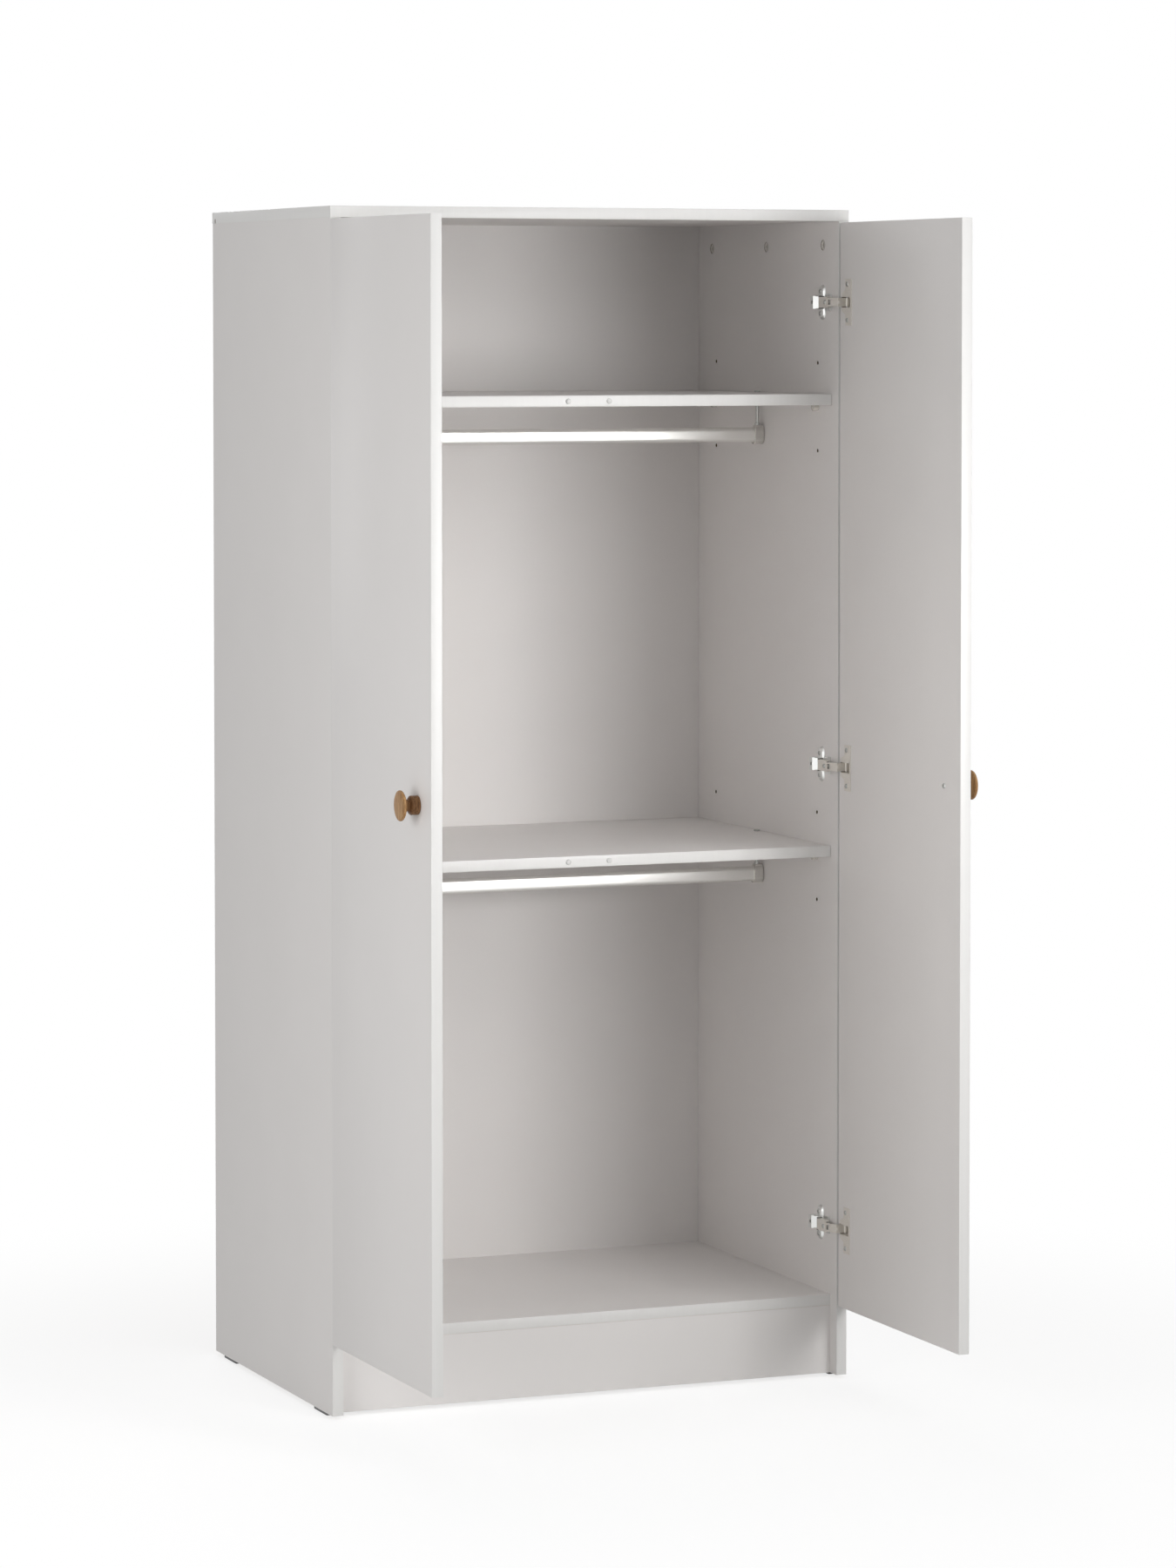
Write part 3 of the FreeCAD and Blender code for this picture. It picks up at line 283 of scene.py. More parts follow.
def turned(profile, name, steps=40):
    """A piece turned round Z from its profile of radius and height in millimetres."""
    bpy.ops.object.select_all(action="DESELECT")
    bpy.ops.mesh.primitive_circle_add(vertices=3, radius=1)
    piece = bpy.context.object
    piece.name = piece.data.name = name
    bpy.ops.object.mode_set(mode="EDIT")
    bpy.ops.mesh.select_all(action="SELECT")
    bpy.ops.mesh.delete(type="VERT")
    mesh = bmesh.from_edit_mesh(piece.data)
    line = [mesh.verts.new((radius * MM, 0, height * MM)) for radius, height in profile]
    for start, end in zip(line, line[1:]):
        mesh.edges.new((start, end))
    bmesh.update_edit_mesh(piece.data)
    bpy.ops.mesh.select_all(action="SELECT")
    bpy.ops.mesh.spin(steps=steps, angle=math.tau, center=(0, 0, 0), axis=(0, 0, 1))
    bpy.ops.mesh.select_all(action="SELECT")
    bpy.ops.mesh.remove_doubles(threshold=TOUCH)
    bpy.ops.mesh.normals_make_consistent(inside=False)
    bpy.ops.object.mode_set(mode="OBJECT")
    return piece


def block(size, centre, name, rounding=0.0, segments=2):
    """A block of size in millimetres round centre in metres, its edges rounded."""
    bpy.ops.object.select_all(action="DESELECT")
    bpy.ops.mesh.primitive_cube_add(size=1)
    piece = bpy.context.object
    piece.name = piece.data.name = name
    piece.data.transform(Matrix.Diagonal([s * MM for s in size] + [1]))
    piece.data.transform(Matrix.Translation(centre))
    if rounding:
        bpy.ops.object.mode_set(mode="EDIT")
        bpy.ops.mesh.select_all(action="SELECT")
        bpy.ops.mesh.bevel(offset=rounding * MM, segments=segments, affect="EDGES")
        bpy.ops.object.mode_set(mode="OBJECT")
    return piece


def join(pieces, name):
    """One piece made of several."""
    bpy.ops.object.select_all(action="DESELECT")
    for piece in pieces:
        piece.select_set(True)
    bpy.context.view_layer.objects.active = pieces[0]
    if len(pieces) > 1:
        bpy.ops.object.join()
    pieces[0].name = pieces[0].data.name = name
    return pieces[0]


def copies(pattern, places, name):
    """One piece made of the pattern at each place, a point and the way its Z axis points there."""
    made = []
    for point, way in places:
        one = bpy.data.objects.new(name, pattern.data.copy())
        turn = Vector((0, 0, 1)).rotation_difference(Vector(way)).to_matrix().to_4x4()
        one.data.transform(Matrix.Translation(point) @ turn)
        bpy.context.scene.collection.objects.link(one)
        made.append(one)
    bpy.data.objects.remove(pattern)
    piece = join(made, name)
    smooth(piece)
    return piece


def crossed(piece, length, width, depth, height):
    """Cuts a cross recess into the piece at a height, in millimetres."""
    for size in ((length, width, depth), (width, length, depth)):
        carve(piece, block(size, (0, 0, height * MM), "recess"))
    return piece


CAM_Y = (53.5, 254.5, 455.5)
CAM_DROP = 34
CAM_SINK = 0.4
CAM_RECESS = (8.4, 1.9, 5)
CAM_PROFILE = ((0, -12.1), (7.5, -12.1), (7.5, -0.5), (7.0, 0), (6.2, 0), (5.7, -0.5), (0, -0.5))
cam = crossed(turned(CAM_PROFILE, "cam"), *CAM_RECESS, -CAM_SINK)
places = []
for sign in SIDES.values():
    for y in CAM_Y:
        places.append(((sign * (inner_x + CAM_SINK * MM), front_y + y * MM, top_under - CAM_DROP * MM),
                       (-sign, 0, 0)))
    for y in CAM_Y[::2]:
        places.append(((sign * (inner_x - CAM_DROP * MM), front_y + y * MM,
                        bottom_under + CAM_SINK * MM), (0, 0, -1)))
piece = copies(cam, places, "cam_lock_castings")
piece.data.materials.append(zinc)
stand_for(piece, "carcass", "zinc_casting", "cam_locks")

# Hidden joinery: steel bolts that the cam locks pull on, screwed into the top and the sides, and
# beech dowels glued in the joints. They keep the CAD shapes and get their own finishes.
# Zinc-plated steel: cold formed, then plated. The eye sees a bright cool grey with soft blurred gloss.
steel, tree, shader, where = finish("zinc_plated_steel")
drawn = add(tree, "TexNoise", {"Vector": where, "Scale": 1 / (2 * MM), "Detail": 2.0})
tone = add(tree, "Mix", {0: drawn.outputs["Fac"], 6: linear("B4B5B4"), 7: linear("CFCFCC")},
           data_type="RGBA")
wire(tree, shader, {"Base Color": tone.outputs[2], "Metallic": 1.0, "Roughness": 0.3})

# Beech: turned with the grain. The eye sees a pale pinkish tan with short darker flecks.
beech, tree, shader, where = finish("beech_dowel")
fibre = add(tree, "TexNoise", {"Vector": where, "Scale": 1 / (2.5 * MM), "Detail": 4.0})
tone = add(tree, "Mix", {0: fibre.outputs["Fac"], 6: linear("B98F62"), 7: linear("D9B98C")},
           data_type="RGBA")
wire(tree, shader, {"Base Color": tone.outputs[2], "Roughness": 0.7})


def dress(node, material):
    """Gives a CAD node that keeps its shape a finer material."""
    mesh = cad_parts[node].data
    mesh.materials.clear()
    mesh.materials.append(material)


dress("cam_bolts", steel)
dress("wood_dowels", beech)

# Nails: thin plated steel pins with domed heads. They are driven through the back sheet into the rear
# edge of the bottom panel, in one row.
NAIL_SHARES = (-0.92, -0.46, 0, 0.46, 0.92)
NAIL_PROFILE = ((0, -18), (0.7, -17), (1, -16), (1, 0), (3, 0), (2.9, 0.4), (2, 0.9), (0, 1.0))
nail_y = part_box("back_panel")[1].y
places = [((share * inner_x, nail_y, (bottom_under + bottom_top) / 2), (0, 1, 0))
          for share in NAIL_SHARES]
piece = copies(turned(NAIL_PROFILE, "nail", steps=16), places, "back_nails")
piece.data.materials.append(steel)
stand_for(piece, "carcass", "bright_steel", "back_panel_nails")

# Floor glides: grey plastic pads under the front and rear of the sides, each nailed on through a sunk
# hole. Their edges are rounded so that they slide.
# Moulded polyethylene: injection moulded. The eye sees a waxy mid grey with a faint mould grain, drawn
# at 1.2 mm so that it shows.
pad_plastic, tree, shader, where = finish("moulded_polyethylene")
speckle = add(tree, "TexNoise", {"Vector": where, "Scale": 1 / (1.2 * MM), "Detail": 3.0})
tone = add(tree, "Mix", {0: speckle.outputs["Fac"], 6: linear("6A6A6C"), 7: linear("808082")},
           data_type="RGBA")
relief = add(tree, "Bump", {"Height": speckle.outputs["Fac"], "Distance": 0.1 * MM})
wire(tree, shader, {"Base Color": tone.outputs[2], "Roughness": 0.6,
                    "Normal": relief.outputs["Normal"]})
GLIDE = (12, 53, 5)
GLIDE_ROUND = 1.2
GLIDE_Y = (59, 461)
SINK_PROFILE = ((0, -1), (2, -1), (2.6, 1.6), (0, 1.6))
side_low, side_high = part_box("right_side_panel")
side_x = (side_low.x + side_high.x) / 2
glides = []
for sign in SIDES.values():
    for y in GLIDE_Y:
        foot = Vector((sign * side_x, front_y + y * MM, 0))
        pad = block(GLIDE, foot + Vector((0, 0, GLIDE[2] / 2 * MM)), "glide", GLIDE_ROUND, segments=3)
        sunk = turned(SINK_PROFILE, "nail_sink", steps=20)
        sunk.data.transform(Matrix.Translation(foot))
        carve(pad, sunk)
        glides.append(pad)
piece = join(glides, "glide_pads")
smooth(piece)
piece.data.materials.append(pad_plastic)
stand_for(piece, "carcass", "glide_plastic", "floor_glides")

# Shelf supports: steel pins in the sides' holes, four to a shelf, each with a rounded tab that the shelf
# rests on. They are pressed, tumbled and nickel plated.
# Polished nickel: the eye sees small sharp glints on a warm, pale metal.
polished, tree, shader, where = finish("polished_nickel")
tumbled = add(tree, "TexNoise", {"Vector": where, "Scale": 1 / (1.5 * MM), "Detail": 2.0})
tone = add(tree, "Mix", {0: tumbled.outputs["Fac"], 6: linear("E6E2DA"), 7: linear("F0EDE6")},
           data_type="RGBA")
rough = add(tree, "MapRange", {"Value": tumbled.outputs["Fac"], "To Min": 0.16, "To Max": 0.26})
wire(tree, shader, {"Base Color": tone.outputs[2], "Metallic": 0.45,
                    "Roughness": rough.outputs["Result"]})
LEVELS = ("upper", "lower")
SHARP = math.radians(40)
SUPPORT_ROUND = 1.4


def round_off(piece, rounding, segments=2):
    """Rounds all the sharp edges of the piece by millimetres and keeps its flat faces flat."""
    only(piece)
    bevel = piece.modifiers.new("rounding", "BEVEL")
    bevel.width = rounding * MM
    bevel.segments = segments
    bevel.limit_method = "ANGLE"
    bevel.angle_limit = SHARP
    bpy.ops.object.modifier_apply(modifier=bevel.name)
    smooth(piece)
    even = piece.modifiers.new("flat_faces", "WEIGHTED_NORMAL")
    even.keep_sharp = True
    bpy.ops.object.modifier_apply(modifier=even.name)
    return piece


for level in LEVELS:
    node = level + "_shelf_supports"
    piece = round_off(solid_copy(node, level + "_support_pins"), SUPPORT_ROUND, segments=3)
    piece.data.materials.append(polished)
    stand_for(piece, "carcass", "nickel_steel", node)

# Shelf plugs: small domed caps of white plastic, two to a shelf. They are pushed into holes in the
# shelves' front edges.
# White polypropylene: injection moulded. The eye sees a glossy, slightly milky white.
plug_plastic, tree, shader, where = finish("white_polypropylene")
flow = add(tree, "TexNoise", {"Vector": where, "Scale": 1 / (6 * MM), "Detail": 2.0})
tone = add(tree, "Mix", {0: flow.outputs["Fac"], 6: linear("DEDEDC"), 7: linear("E8E8E6")},
           data_type="RGBA")
wire(tree, shader, {"Base Color": tone.outputs[2], "Roughness": 0.25})
PLUG_OFF_MIDDLE = 31.5
PLUG_PROFILE = ((0, -8.5), (2.2, -8.5), (2.5, -8), (2.5, 0), (4, 0), (4, 0.5), (3.6, 1.1),
                (2.6, 1.6), (1.3, 1.8), (0, 1.8))
places = []
for level in LEVELS:
    low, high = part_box(level + "_shelf")
    for sign in SIDES.values():
        places.append(((sign * PLUG_OFF_MIDDLE * MM, low.y, (low.z + high.z) / 2), (0, -1, 0)))
piece = copies(turned(PLUG_PROFILE, "plug", steps=28), places, "edge_plugs")
piece.data.materials.append(plug_plastic)
stand_for(piece, "carcass", "white_plastic", "shelf_edge_plugs")

# Hanging rails: oval aluminium tube, one below each shelf. It is drawn through a die, anodised and cut
# to length, and its ends sit in the brackets' sockets.
# Anodised aluminium: the eye sees a pale, silky metal that blurs what it mirrors, with fine lines along
# the tube. The lines are 0.2 mm apart in life and are drawn at 0.8 mm, so that they show.
anodised, tree, shader, where = finish("anodised_aluminium")
drawn = add(tree, "Mapping", {"Vector": where, "Scale": (0.01, 1, 1)})
lines = add(tree, "TexNoise", {"Vector": drawn.outputs["Vector"], "Scale": 1 / (0.8 * MM),
                               "Detail": 2.0})
tone = add(tree, "Mix", {0: lines.outputs["Fac"], 6: linear("F0EFEC"), 7: linear("F8F7F4")},
           data_type="RGBA")
rough = add(tree, "MapRange", {"Value": lines.outputs["Fac"], "To Min": 0.30, "To Max": 0.40})
wire(tree, shader, {"Base Color": tone.outputs[2], "Metallic": 0.8,
                    "Roughness": rough.outputs["Result"]})
for level in LEVELS:
    piece = solid_copy(level + "_rail", level + "_rail_tube")
    smooth(piece)
    piece.data.materials.append(anodised)
    stand_for(piece, "carcass", "rail_aluminium", level + "_rail")

# Rail brackets: zinc castings, each an oval socket for the rail's end, its upper corner sloped off and its
# mouth faced bright. A plated bolt through the shelf carries each one, with a domed cap above the shelf
# and a collar that is screwed down on the bracket.
BRACKET_ROUND = 0.8
CROWN = 14
SLOPE_RISE = 7
SLOPE_RUN = 3
LUG_RISE = 6
BOLT_FREE = 26
BOLT_ROUND = 0.6
rail_middle = {}
for level in LEVELS:
    low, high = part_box(level + "_rail")
    rail_middle[level] = (low.z + high.z) / 2
    crown = rail_middle[level] + CROWN * MM
    for side, sign in SIDES.items():
        node = f"{level}_{side}_rail_bracket"
        low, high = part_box(node)
        mouth = sign * min(abs(low.x), abs(high.x))
        slope = Vector((-sign * SLOPE_RISE, 0, SLOPE_RUN)).normalized()
        piece = solid_copy(node, node + "_casting")
        bpy.ops.object.mode_set(mode="EDIT")
        for point, way in (((mouth, 0, crown), Vector((0, 0, 1))),
                           ((mouth, 0, crown - SLOPE_RISE * MM), slope)):
            bpy.ops.mesh.select_all(action="SELECT")
            bpy.ops.mesh.bisect(plane_co=point, plane_no=way, use_fill=True, clear_outer=True)
        bpy.ops.object.mode_set(mode="OBJECT")
        round_off(piece, BRACKET_ROUND)
        piece.data.materials.append(zinc)
        piece.data.materials.append(polished)
        for face in piece.data.polygons:
            faced = abs(face.center.x - mouth) < BRACKET_ROUND * MM
            face.material_index = 1 if faced else 0
        stand_for(piece, "carcass", "zinc_casting", node)
piece = solid_copy("rail_bracket_bolts", "bracket_bolts")
bpy.ops.object.mode_set(mode="EDIT")
bpy.ops.mesh.select_all(action="DESELECT")
mesh = bmesh.from_edit_mesh(piece.data)
for vertex in mesh.verts:
    vertex.select = any(0 < vertex.co.z - middle < BOLT_FREE * MM for middle in rail_middle.values())
mesh.select_flush(True)
bmesh.update_edit_mesh(piece.data)
bpy.ops.transform.translate(value=(0, 0, -LUG_RISE * MM))
bpy.ops.object.mode_set(mode="OBJECT")
round_off(piece, BOLT_ROUND)
piece.data.materials.append(steel)
stand_for(piece, "carcass", "bright_steel", "rail_bracket_bolts")

# Concealed hinges, on the sides: a cast plate screwed on through its two wings, and a pressed arm that
# sits on the plate's rail and reaches round the front edge. One screw in the arm adjusts it, and the
# plate's clip block holds it from behind, with a notch that leaves the block a steep bright face.
# Bright nickel casting: the eye sees a nearly white metal whose rounded edges catch the light.
bright, tree, shader, where = finish("bright_nickel_casting")
cast = add(tree, "TexNoise", {"Vector": where, "Scale": 1 / (2.2 * MM), "Detail": 3.0})
tone = add(tree, "Mix", {0: cast.outputs["Fac"], 6: linear("E2E3E1"), 7: linear("EAEBE9")},
           data_type="RGBA")
wire(tree, shader, {"Base Color": tone.outputs[2], "Metallic": 0.85, "Roughness": 0.28})

# Nickel-plated steel: rolled strip, pressed and plated. The eye sees a pale warm metal with faint lines
# along the strip.
nickel, tree, shader, where = finish("nickel_plated_steel")
along = add(tree, "Mapping", {"Vector": where, "Scale": (1, 0.1, 1)})
rolled = add(tree, "TexNoise", {"Vector": along.outputs["Vector"], "Scale": 1 / (1.2 * MM),
                                "Detail": 2.0})
tone = add(tree, "Mix", {0: rolled.outputs["Fac"], 6: linear("E2DDD5"), 7: linear("ECE8E1")},
           data_type="RGBA")
worn = add(tree, "MapRange", {"Value": rolled.outputs["Fac"], "To Min": 0.32, "To Max": 0.42})
wire(tree, shader, {"Base Color": tone.outputs[2], "Metallic": 0.3,
                    "Roughness": worn.outputs["Result"]})

# Painted shade on the plate's rail: the faces seen through the arm's window are coloured near black, as
# painted shade for the dark slot under the arm. The eye sees a dark, dull brown.
rail_painted_shade, tree, shader, where = finish("under_arm_painted_shade")
slot_mottle = add(tree, "TexNoise", {"Vector": where, "Scale": 1 / (3 * MM), "Detail": 2.0})
tone = add(tree, "Mix", {0: slot_mottle.outputs["Fac"], 6: linear("1E1C1A"), 7: linear("2E2B28")},
           data_type="RGBA")
wire(tree, shader, {"Base Color": tone.outputs[2], "Roughness": 0.4})
HINGES = ("top", "middle", "bottom")
PLATE_ROUND = 0.8
PLATE_WING = 4
PLATE_MIDDLE = 8.5
PLATE_SCREW_Y = 54
PLATE_SCREW_Z = 16
WING_CUT = (20, 24, 20)
WING_PROFILE = ((0, 0), (9.5, 0), (9.5, 0.3), (9.2, 0.9), (8.2, 2.3), (7.2, 3.4), (6.5, 3.85),
                (5.6, PLATE_WING), (0, PLATE_WING))
ARM_TOP = 13
CLIP_SLOPE = math.radians(55)
CLIP_SLOPE_END = 60.3
CLIP_CUT = (16, 11, 24)
PAINTED_SHADE_HALF = 6
ARM_ROUND = 0.4
RIVET_IN = 4.6
RIVET_AHEAD = 12
ADJUSTER_Y = 18
PAN_TOP = 1.6
PAN_RECESS = (4.2, 1.26, 2.4)
ADJUSTER_RECESS = (4.0, 1.2, 2.4)
SCREW_PROFILE = ((0, -12), (0.4, -11.8), (1.6, -9.5), (1.7, 0), (3.4, 0), (3.5, 0.3), (3.3, 0.9),
                 (2.6, 1.4), (1.4, PAN_TOP), (0, PAN_TOP))
ADJUSTER_PROFILE = ((0, -6), (1.6, -6), (2, -5.6), (2, 0), (3.3, 0), (3.3, 1.0), (2.9, 1.5),
                    (2.2, PAN_TOP), (0, PAN_TOP))
RIVET_PROFILE = ((0, -1), (1.3, -1), (1.3, 0), (2.2, 0), (2.1, 0.4), (1.5, 0.8), (0, 0.9))


def domed_wing(seat, inwards, up):
    """One wing of a plate: a turned dome, halved and drawn out towards the plate's middle."""
    wing = copies(turned(WING_PROFILE, "wing", steps=48), [(seat, inwards)], "wing")
    bpy.ops.object.mode_set(mode="EDIT")
    bpy.ops.mesh.select_all(action="SELECT")
    bpy.ops.mesh.bisect(plane_co=seat, plane_no=(0, 0, -up), clear_outer=True)
    bpy.ops.mesh.select_all(action="DESELECT")
    bpy.ops.mesh.select_non_manifold()
    drawn_out = (0, 0, up * (PLATE_MIDDLE - PLATE_SCREW_Z) * MM)
    bpy.ops.mesh.extrude_edges_move(TRANSFORM_OT_translate={"value": drawn_out})
    bpy.ops.mesh.edge_face_add()
    bpy.ops.mesh.select_all(action="SELECT")
    bpy.ops.mesh.normals_make_consistent(inside=False)
    bpy.ops.object.mode_set(mode="OBJECT")
    smooth(wing)
    return wing


plate_places, adjuster_places = [], []
for side, sign in SIDES.items():
    for level in HINGES:
        arm_node = f"{side}_{level}_hinge_arm"
        arm_low, arm_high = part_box(arm_node)
        middle = (arm_low.z + arm_high.z) / 2
        node = f"{side}_{level}_hinge_plate"
        screw_y = front_y + PLATE_SCREW_Y * MM
        inwards = (-sign, 0, 0)
        wings, cutters = [], []
        for up in (-1, 1):
            screw_z = middle + up * PLATE_SCREW_Z * MM
            cut_z = middle + up * (PLATE_MIDDLE + WING_CUT[2] / 2) * MM
            cutters.append(block(WING_CUT, (sign * inner_x, screw_y, cut_z), "wing_cut"))
            wings.append(domed_wing((sign * inner_x, screw_y, screw_z), inwards, up))
            plate_places.append(((sign * (inner_x - PLATE_WING * MM), screw_y, screw_z), inwards))
        sloped = block(CLIP_CUT, (-sign * CLIP_CUT[0] / 2 * MM, -CLIP_CUT[1] / 2 * MM, 0), "clip_cut")
        ridge = (sign * (inner_x - ARM_TOP * MM), front_y + CLIP_SLOPE_END * MM, middle)
        sloped.data.transform(Matrix.Translation(ridge) @ Matrix.Rotation(sign * CLIP_SLOPE, 4, "Z"))
        cutters.append(sloped)
        piece = solid_copy(node, node + "_casting", *cutters)
        wing_top = sign * (inner_x - PLATE_WING * MM)
        bpy.ops.object.mode_set(mode="EDIT")
        bpy.ops.mesh.select_all(action="SELECT")
        bpy.ops.mesh.bisect(plane_co=(wing_top, 0, 0), plane_no=inwards)
        bpy.ops.object.mode_set(mode="OBJECT")
        round_off(piece, PLATE_ROUND)
        join([piece] + wings, piece.name)
        piece.data.materials.append(bright)
        piece.data.materials.append(rail_painted_shade)
        # Faces of the raised rail under the arm, near its middle, take the near-black painted shade.
        for face in piece.data.polygons:
            under_arm = arm_low.y < face.center.y < arm_high.y
            raised = abs(face.center.x) < abs(wing_top)
            if under_arm and raised and abs(face.center.z - middle) < PAINTED_SHADE_HALF * MM:
                face.material_index = 1
        stand_for(piece, "carcass", "nickel_steel", node)
        arm = round_off(solid_copy(arm_node, arm_node + "_pressing"), ARM_ROUND)
        elbow = (sign * (inner_x - RIVET_IN * MM), front_y - RIVET_AHEAD * MM, middle)
        rivet = copies(turned(RIVET_PROFILE, "rivet", steps=24), [(elbow, (0, -1, 0))], "rivet")
        piece = join([arm, rivet], arm.name)
        piece.data.materials.append(nickel)
        stand_for(piece, "carcass", "nickel_steel", arm_node)
        adjuster_places.append(((sign * (inner_x - ARM_TOP * MM), front_y + ADJUSTER_Y * MM,
                                 middle), inwards))
screw = crossed(turned(SCREW_PROFILE, "plate_screw", steps=28), *PAN_RECESS, PAN_TOP)
piece = copies(screw, plate_places, "plate_screws")
piece.data.materials.append(steel)
stand_for(piece, "carcass", "bright_steel", "hinge_plate_screws")
screw = crossed(turned(ADJUSTER_PROFILE, "adjuster", steps=28), *ADJUSTER_RECESS, PAN_TOP)
piece = copies(screw, adjuster_places, "adjusting_screws")
piece.data.materials.append(steel)
stand_for(piece, "carcass", "bright_steel", "hinge_arm_screws")

# Concealed hinges, on the doors: a pressed cup let into a bore, whose flange is held by two pan-head
# screws. A steel pin across the cup carries the arm, and all of these swing with the door.
CUP_ROUND = 0.6
CUP_FLANGE = 1.2
CUP_SCREW_Y = 26
CUP_SCREW_Z = 26
for side, sign in SIDES.items():
    body = side + "_door"
    door_low, door_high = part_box(body)
    inner_face = min(abs(door_low.x), abs(door_high.x))
    places = []
    for level in HINGES:
        node = f"{side}_{level}_hinge_cup"
        piece = round_off(solid_copy(node, node + "_pressing"), CUP_ROUND)
        piece.data.materials.append(nickel)
        stand_for(piece, body, "nickel_steel", node)
        low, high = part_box(node)
        for offset in (-CUP_SCREW_Z, CUP_SCREW_Z):
            places.append(((sign * (inner_face - CUP_FLANGE * MM), door_high.y - CUP_SCREW_Y * MM,
                            (low.z + high.z) / 2 + offset * MM), (-sign, 0, 0)))
    screw = crossed(turned(SCREW_PROFILE, "cup_screw", steps=28), *PAN_RECESS, PAN_TOP)
    piece = copies(screw, places, side + "_flange_screws")
    piece.data.materials.append(steel)
    stand_for(piece, body, "bright_steel", side + "_cup_screws")
    dress(side + "_hinge_pins", steel)

# Knobs: turned from brown-stained hardwood, a drum with two cut grooves, a thin neck and a broad flat
# disc whose grain runs up and down. A pan-head screw from inside the door draws each one on.
# Stained hardwood: turned, stained and oiled. The eye sees a dull brown with close upright streaks, paler
# on the disc and darker on the drum and neck.
DRUM_END = 17.0
DISC_START = 21.0
stained, tree, shader, where = finish("stained_hardwood")
depth = add(tree, "Attribute", attribute_name="turning")
long_grain = add(tree, "Mapping", {"Vector": where, "Scale": (1, 1, 0.1)})
rings = add(tree, "TexNoise", {"Vector": long_grain.outputs["Vector"], "Scale": 1 / (1.7 * MM),
                               "Detail": 5.0, "Roughness": 0.65, "Distortion": 0.6})
streak = add(tree, "MapRange", {"Value": rings.outputs["Fac"], "From Min": 0.36, "From Max": 0.64})
disc_tone = add(tree, "Mix", {0: streak.outputs["Result"], 6: linear("86603C"), 7: linear("BE9768")},
                data_type="RGBA")
drum_tone = add(tree, "Mix", {0: streak.outputs["Result"], 6: linear("6A4A30"), 7: linear("A07852")},
                data_type="RGBA")
out_on_disc = add(tree, "MapRange", {"Value": depth.outputs["Fac"], "From Min": DRUM_END,
                                     "From Max": DISC_START})
tone = add(tree, "Mix", {0: out_on_disc.outputs["Result"], 6: drum_tone.outputs[2],
                         7: disc_tone.outputs[2]}, data_type="RGBA")
polish = add(tree, "MapRange", {"Value": streak.outputs["Result"], "To Min": 0.52, "To Max": 0.4})
relief = add(tree, "Bump", {"Height": streak.outputs["Result"], "Distance": 0.08 * MM})
wire(tree, shader, {"Base Color": tone.outputs[2], "Roughness": polish.outputs["Result"],
                    "Specular IOR Level": 0.2, "Normal": relief.outputs["Normal"]})
KNOB_PROFILE = (
    (0, 0), (12.2, 0), (12.8, 0.5), (13.05, 1.5), (13.05, 2.5), (12.8, 2.8), (12.8, 3.1),
    (13.05, 3.4), (13.05, 6.4), (12.9, 7.1), (12.5, 7.4), (12.4, 7.6), (12.5, 7.8), (12.9, 8.1),
    (13.0, 8.8), (13.0, 9.9), (12.8, 10.7), (12.3, 11.5), (11.2, 12.4), (9.8, 13.2), (8.7, 14.0),
    (8.1, 14.9), (8.0, 15.7), (8.4, 16.8), (9.6, 18.3), (12.0, 19.9), (15.4, 21.2), (18.4, 22.2),
    (20.0, 23.2), (20.6, 24.2), (20.75, 25.0), (20.65, 25.8), (20.2, 26.5), (19.3, 27.0),
    (17.0, 27.4), (12.0, 27.75), (6.0, 27.93), (0, 28),
)
KNOB_SCREW_TOP = 2.0
KNOB_SCREW_RECESS = (4.8, 1.44, 2.4)
KNOB_SCREW_PROFILE = ((0, -30), (1.2, -29), (2, -27), (2, 0), (4, 0), (4, 0.4), (3.7, 1.2),
                      (2.9, 1.8), (1.5, KNOB_SCREW_TOP), (0, KNOB_SCREW_TOP))
for side, sign in SIDES.items():
    body = side + "_door"
    door_low, door_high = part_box(body)
    faces = sorted((abs(door_low.x), abs(door_high.x)))
    low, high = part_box(side + "_knob")
    middle_y, middle_z = (low.y + high.y) / 2, (low.z + high.z) / 2
    knob = turned(KNOB_PROFILE, "knob", steps=64)
    marks = knob.data.attributes.new("turning", "FLOAT", "POINT")
    marks.data.foreach_set("value", [vertex.co.z / MM for vertex in knob.data.vertices])
    piece = copies(knob, [((sign * faces[1], middle_y, middle_z), (sign, 0, 0))],
                   side + "_turned_knob")
    piece.data.materials.append(stained)
    stand_for(piece, body, "turned_wood", side + "_knob")
    screw = turned(KNOB_SCREW_PROFILE, "knob_screw", steps=28)
    crossed(screw, *KNOB_SCREW_RECESS, KNOB_SCREW_TOP)
    piece = copies(screw, [((sign * faces[0], middle_y, middle_z), (-sign, 0, 0))],
                   side + "_knob_pan_screw")
    piece.data.materials.append(steel)
    stand_for(piece, body, "bright_steel", side + "_knob_screw")

# The studio: a pale paper floor that keeps the wardrobe's shadow and fades into a white surround, even
# light from all round, and five soft lamps: one large at the front right, one at the left, one high up, a
# narrow one that reaches into the wardrobe, and one behind it.
# Pale paper: matt and plain. The eye sees near white, with the wardrobe's soft shadow on it.
scene = bpy.context.scene
scene.view_settings.view_transform = "Standard"
FLOOR_RADIUS = 9
SHADOW_REACH = 0.5
FADED_REACH = 1.7
FLOOR_GLOW = 0.75
AROUND = 0.29


def seen_directly(tree):
    """1 where the surround is seen, also in gloss or through clear pieces, and 0 where it only lights."""
    rays = add(tree, "LightPath")
    seen = rays.outputs["Is Camera Ray"]
    for kind in ("Is Glossy Ray", "Is Transmission Ray"):
        seen = add(tree, "Math", {0: seen, 1: rays.outputs[kind]}, operation="MAXIMUM").outputs[0]
    return seen


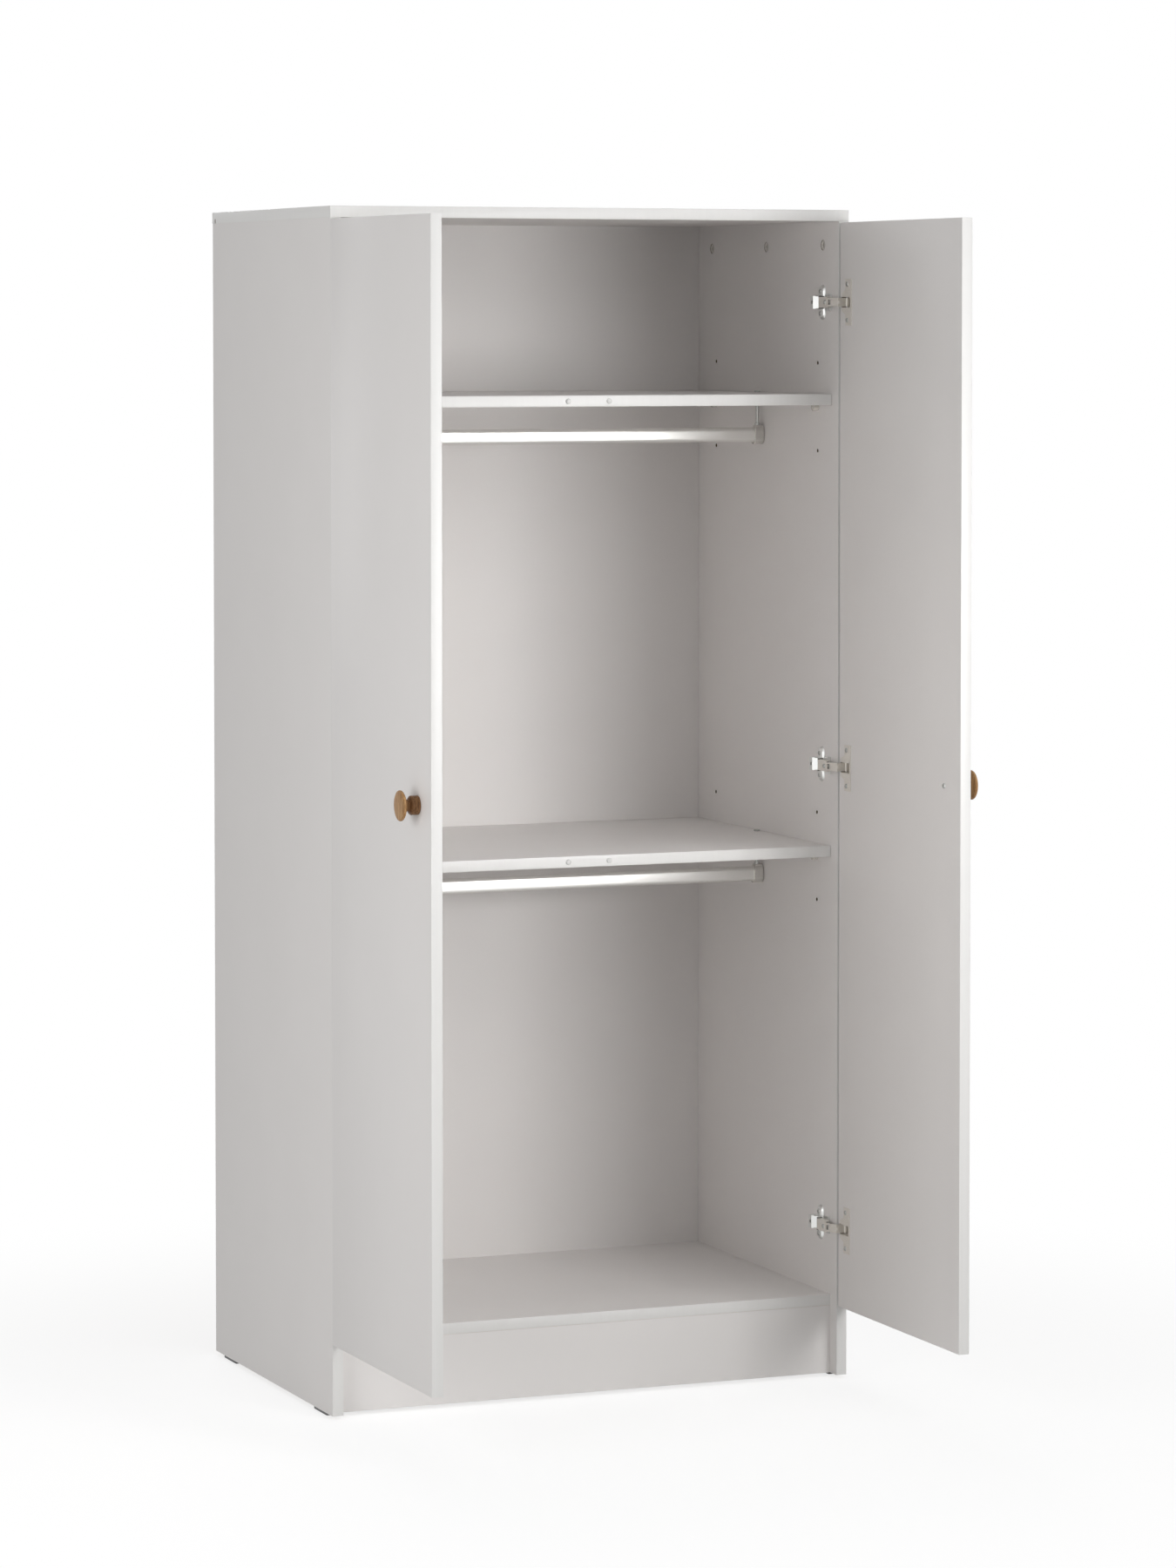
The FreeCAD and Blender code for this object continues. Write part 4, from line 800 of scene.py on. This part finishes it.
bpy.ops.object.select_all(action="DESELECT")
bpy.ops.mesh.primitive_circle_add(vertices=96, radius=FLOOR_RADIUS, fill_type="NGON")
floor = bpy.context.object
floor.name = floor.data.name = "studio_floor"
paper, tree, shader, where = finish("pale_paper_floor")
wire(tree, shader, {"Base Color": linear("B8B7B6"), "Roughness": 0.9})
reach = add(tree, "VectorMath", {0: where}, operation="LENGTH")
far = add(tree, "MapRange", {"Value": reach.outputs["Value"], "From Min": SHADOW_REACH,
                             "From Max": FADED_REACH}, interpolation_type="SMOOTHSTEP")
white = add(tree, "Emission", {"Color": linear("FFFFFF"), "Strength": 1.0})
glow = add(tree, "Emission", {"Color": linear("FFFFFF"), "Strength": FLOOR_GLOW})
shade = add(tree, "BsdfDiffuse", {"Color": linear("A0A0A0")})
lit = add(tree, "AddShader", {0: shade.outputs[0], 1: glow.outputs[0]})
fade = add(tree, "MixShader", {0: far.outputs["Result"], 1: lit.outputs[0], 2: white.outputs[0]})
shown = add(tree, "MixShader", {0: seen_directly(tree), 1: shader.outputs[0], 2: fade.outputs[0]})
wire(tree, tree.nodes["Material Output"], {"Surface": shown.outputs[0]})
floor.data.materials.append(paper)

world = scene.world or bpy.data.worlds.new("studio")
scene.world = world
world.use_nodes = True
tree = world.node_tree
tree.nodes.clear()
around = add(tree, "Background", {"Color": linear("FFFFFF"), "Strength": AROUND})
surround = add(tree, "Background", {"Color": linear("FFFFFF"), "Strength": 1.0})
both = add(tree, "MixShader", {0: seen_directly(tree), 1: around.outputs[0], 2: surround.outputs[0]})
add(tree, "OutputWorld", {"Surface": both.outputs[0]})


def lamp(name, place, aim, size, power, spread=180):
    """A square soft lamp, in metres and watts, that faces its aim and spreads by some degrees."""
    data = bpy.data.lights.new(name, "AREA")
    data.shape = "SQUARE"
    data.size = size
    data.energy = power
    data.spread = math.radians(spread)
    item = bpy.data.objects.new(name, data)
    item.location = place
    item.rotation_euler = (Vector(aim) - Vector(place)).to_track_quat("-Z", "Y").to_euler()
    scene.collection.objects.link(item)


MIDDLE = (0, -0.1, 1.0)
lamp("right_softbox", (2.6, -4.6, 2.2), MIDDLE, 1.8, 40)
lamp("left_softbox", (-2.6, -1.4, 1.1), MIDDLE, 1.6, 28)
lamp("high_softbox", (0.8, -3.2, 2.7), MIDDLE, 1.2, 14)
lamp("gridded_softbox", (1.0, -3.4, 1.2), (-0.05, 0.1, 0.95), 0.8, 4.8, 60)
lamp("rear_softbox", (0.5, 4.4, 1.9), MIDDLE, 1.8, 45)

# The camera stands to the left of the middle, at about head height and seven metres in front of the
# sides, and looks slightly down. Its focal length is given in pixels of the 1350 by 1800 picture.
PICTURE_HEIGHT = 1800
FOCAL_PIXELS = 6104.778
SENSOR = 36
TURN = 22.2682
TILT = 2.4296
SHIFT = -0.15
CAMERA_LEFT = 2.869115
CAMERA_AHEAD = 6.981721
CAMERA_HEIGHT = 1.536814
camera_data = bpy.data.cameras.new("camera")
camera_data.sensor_width = SENSOR
camera_data.lens = SENSOR * FOCAL_PIXELS / PICTURE_HEIGHT
camera_data.shift_y = SHIFT
camera = bpy.data.objects.new("camera", camera_data)
camera.location = (-CAMERA_LEFT, front_y - CAMERA_AHEAD, CAMERA_HEIGHT)
camera.rotation_euler = (math.radians(90 - TILT), 0, math.radians(-TURN))
scene.collection.objects.link(camera)
scene.camera = camera
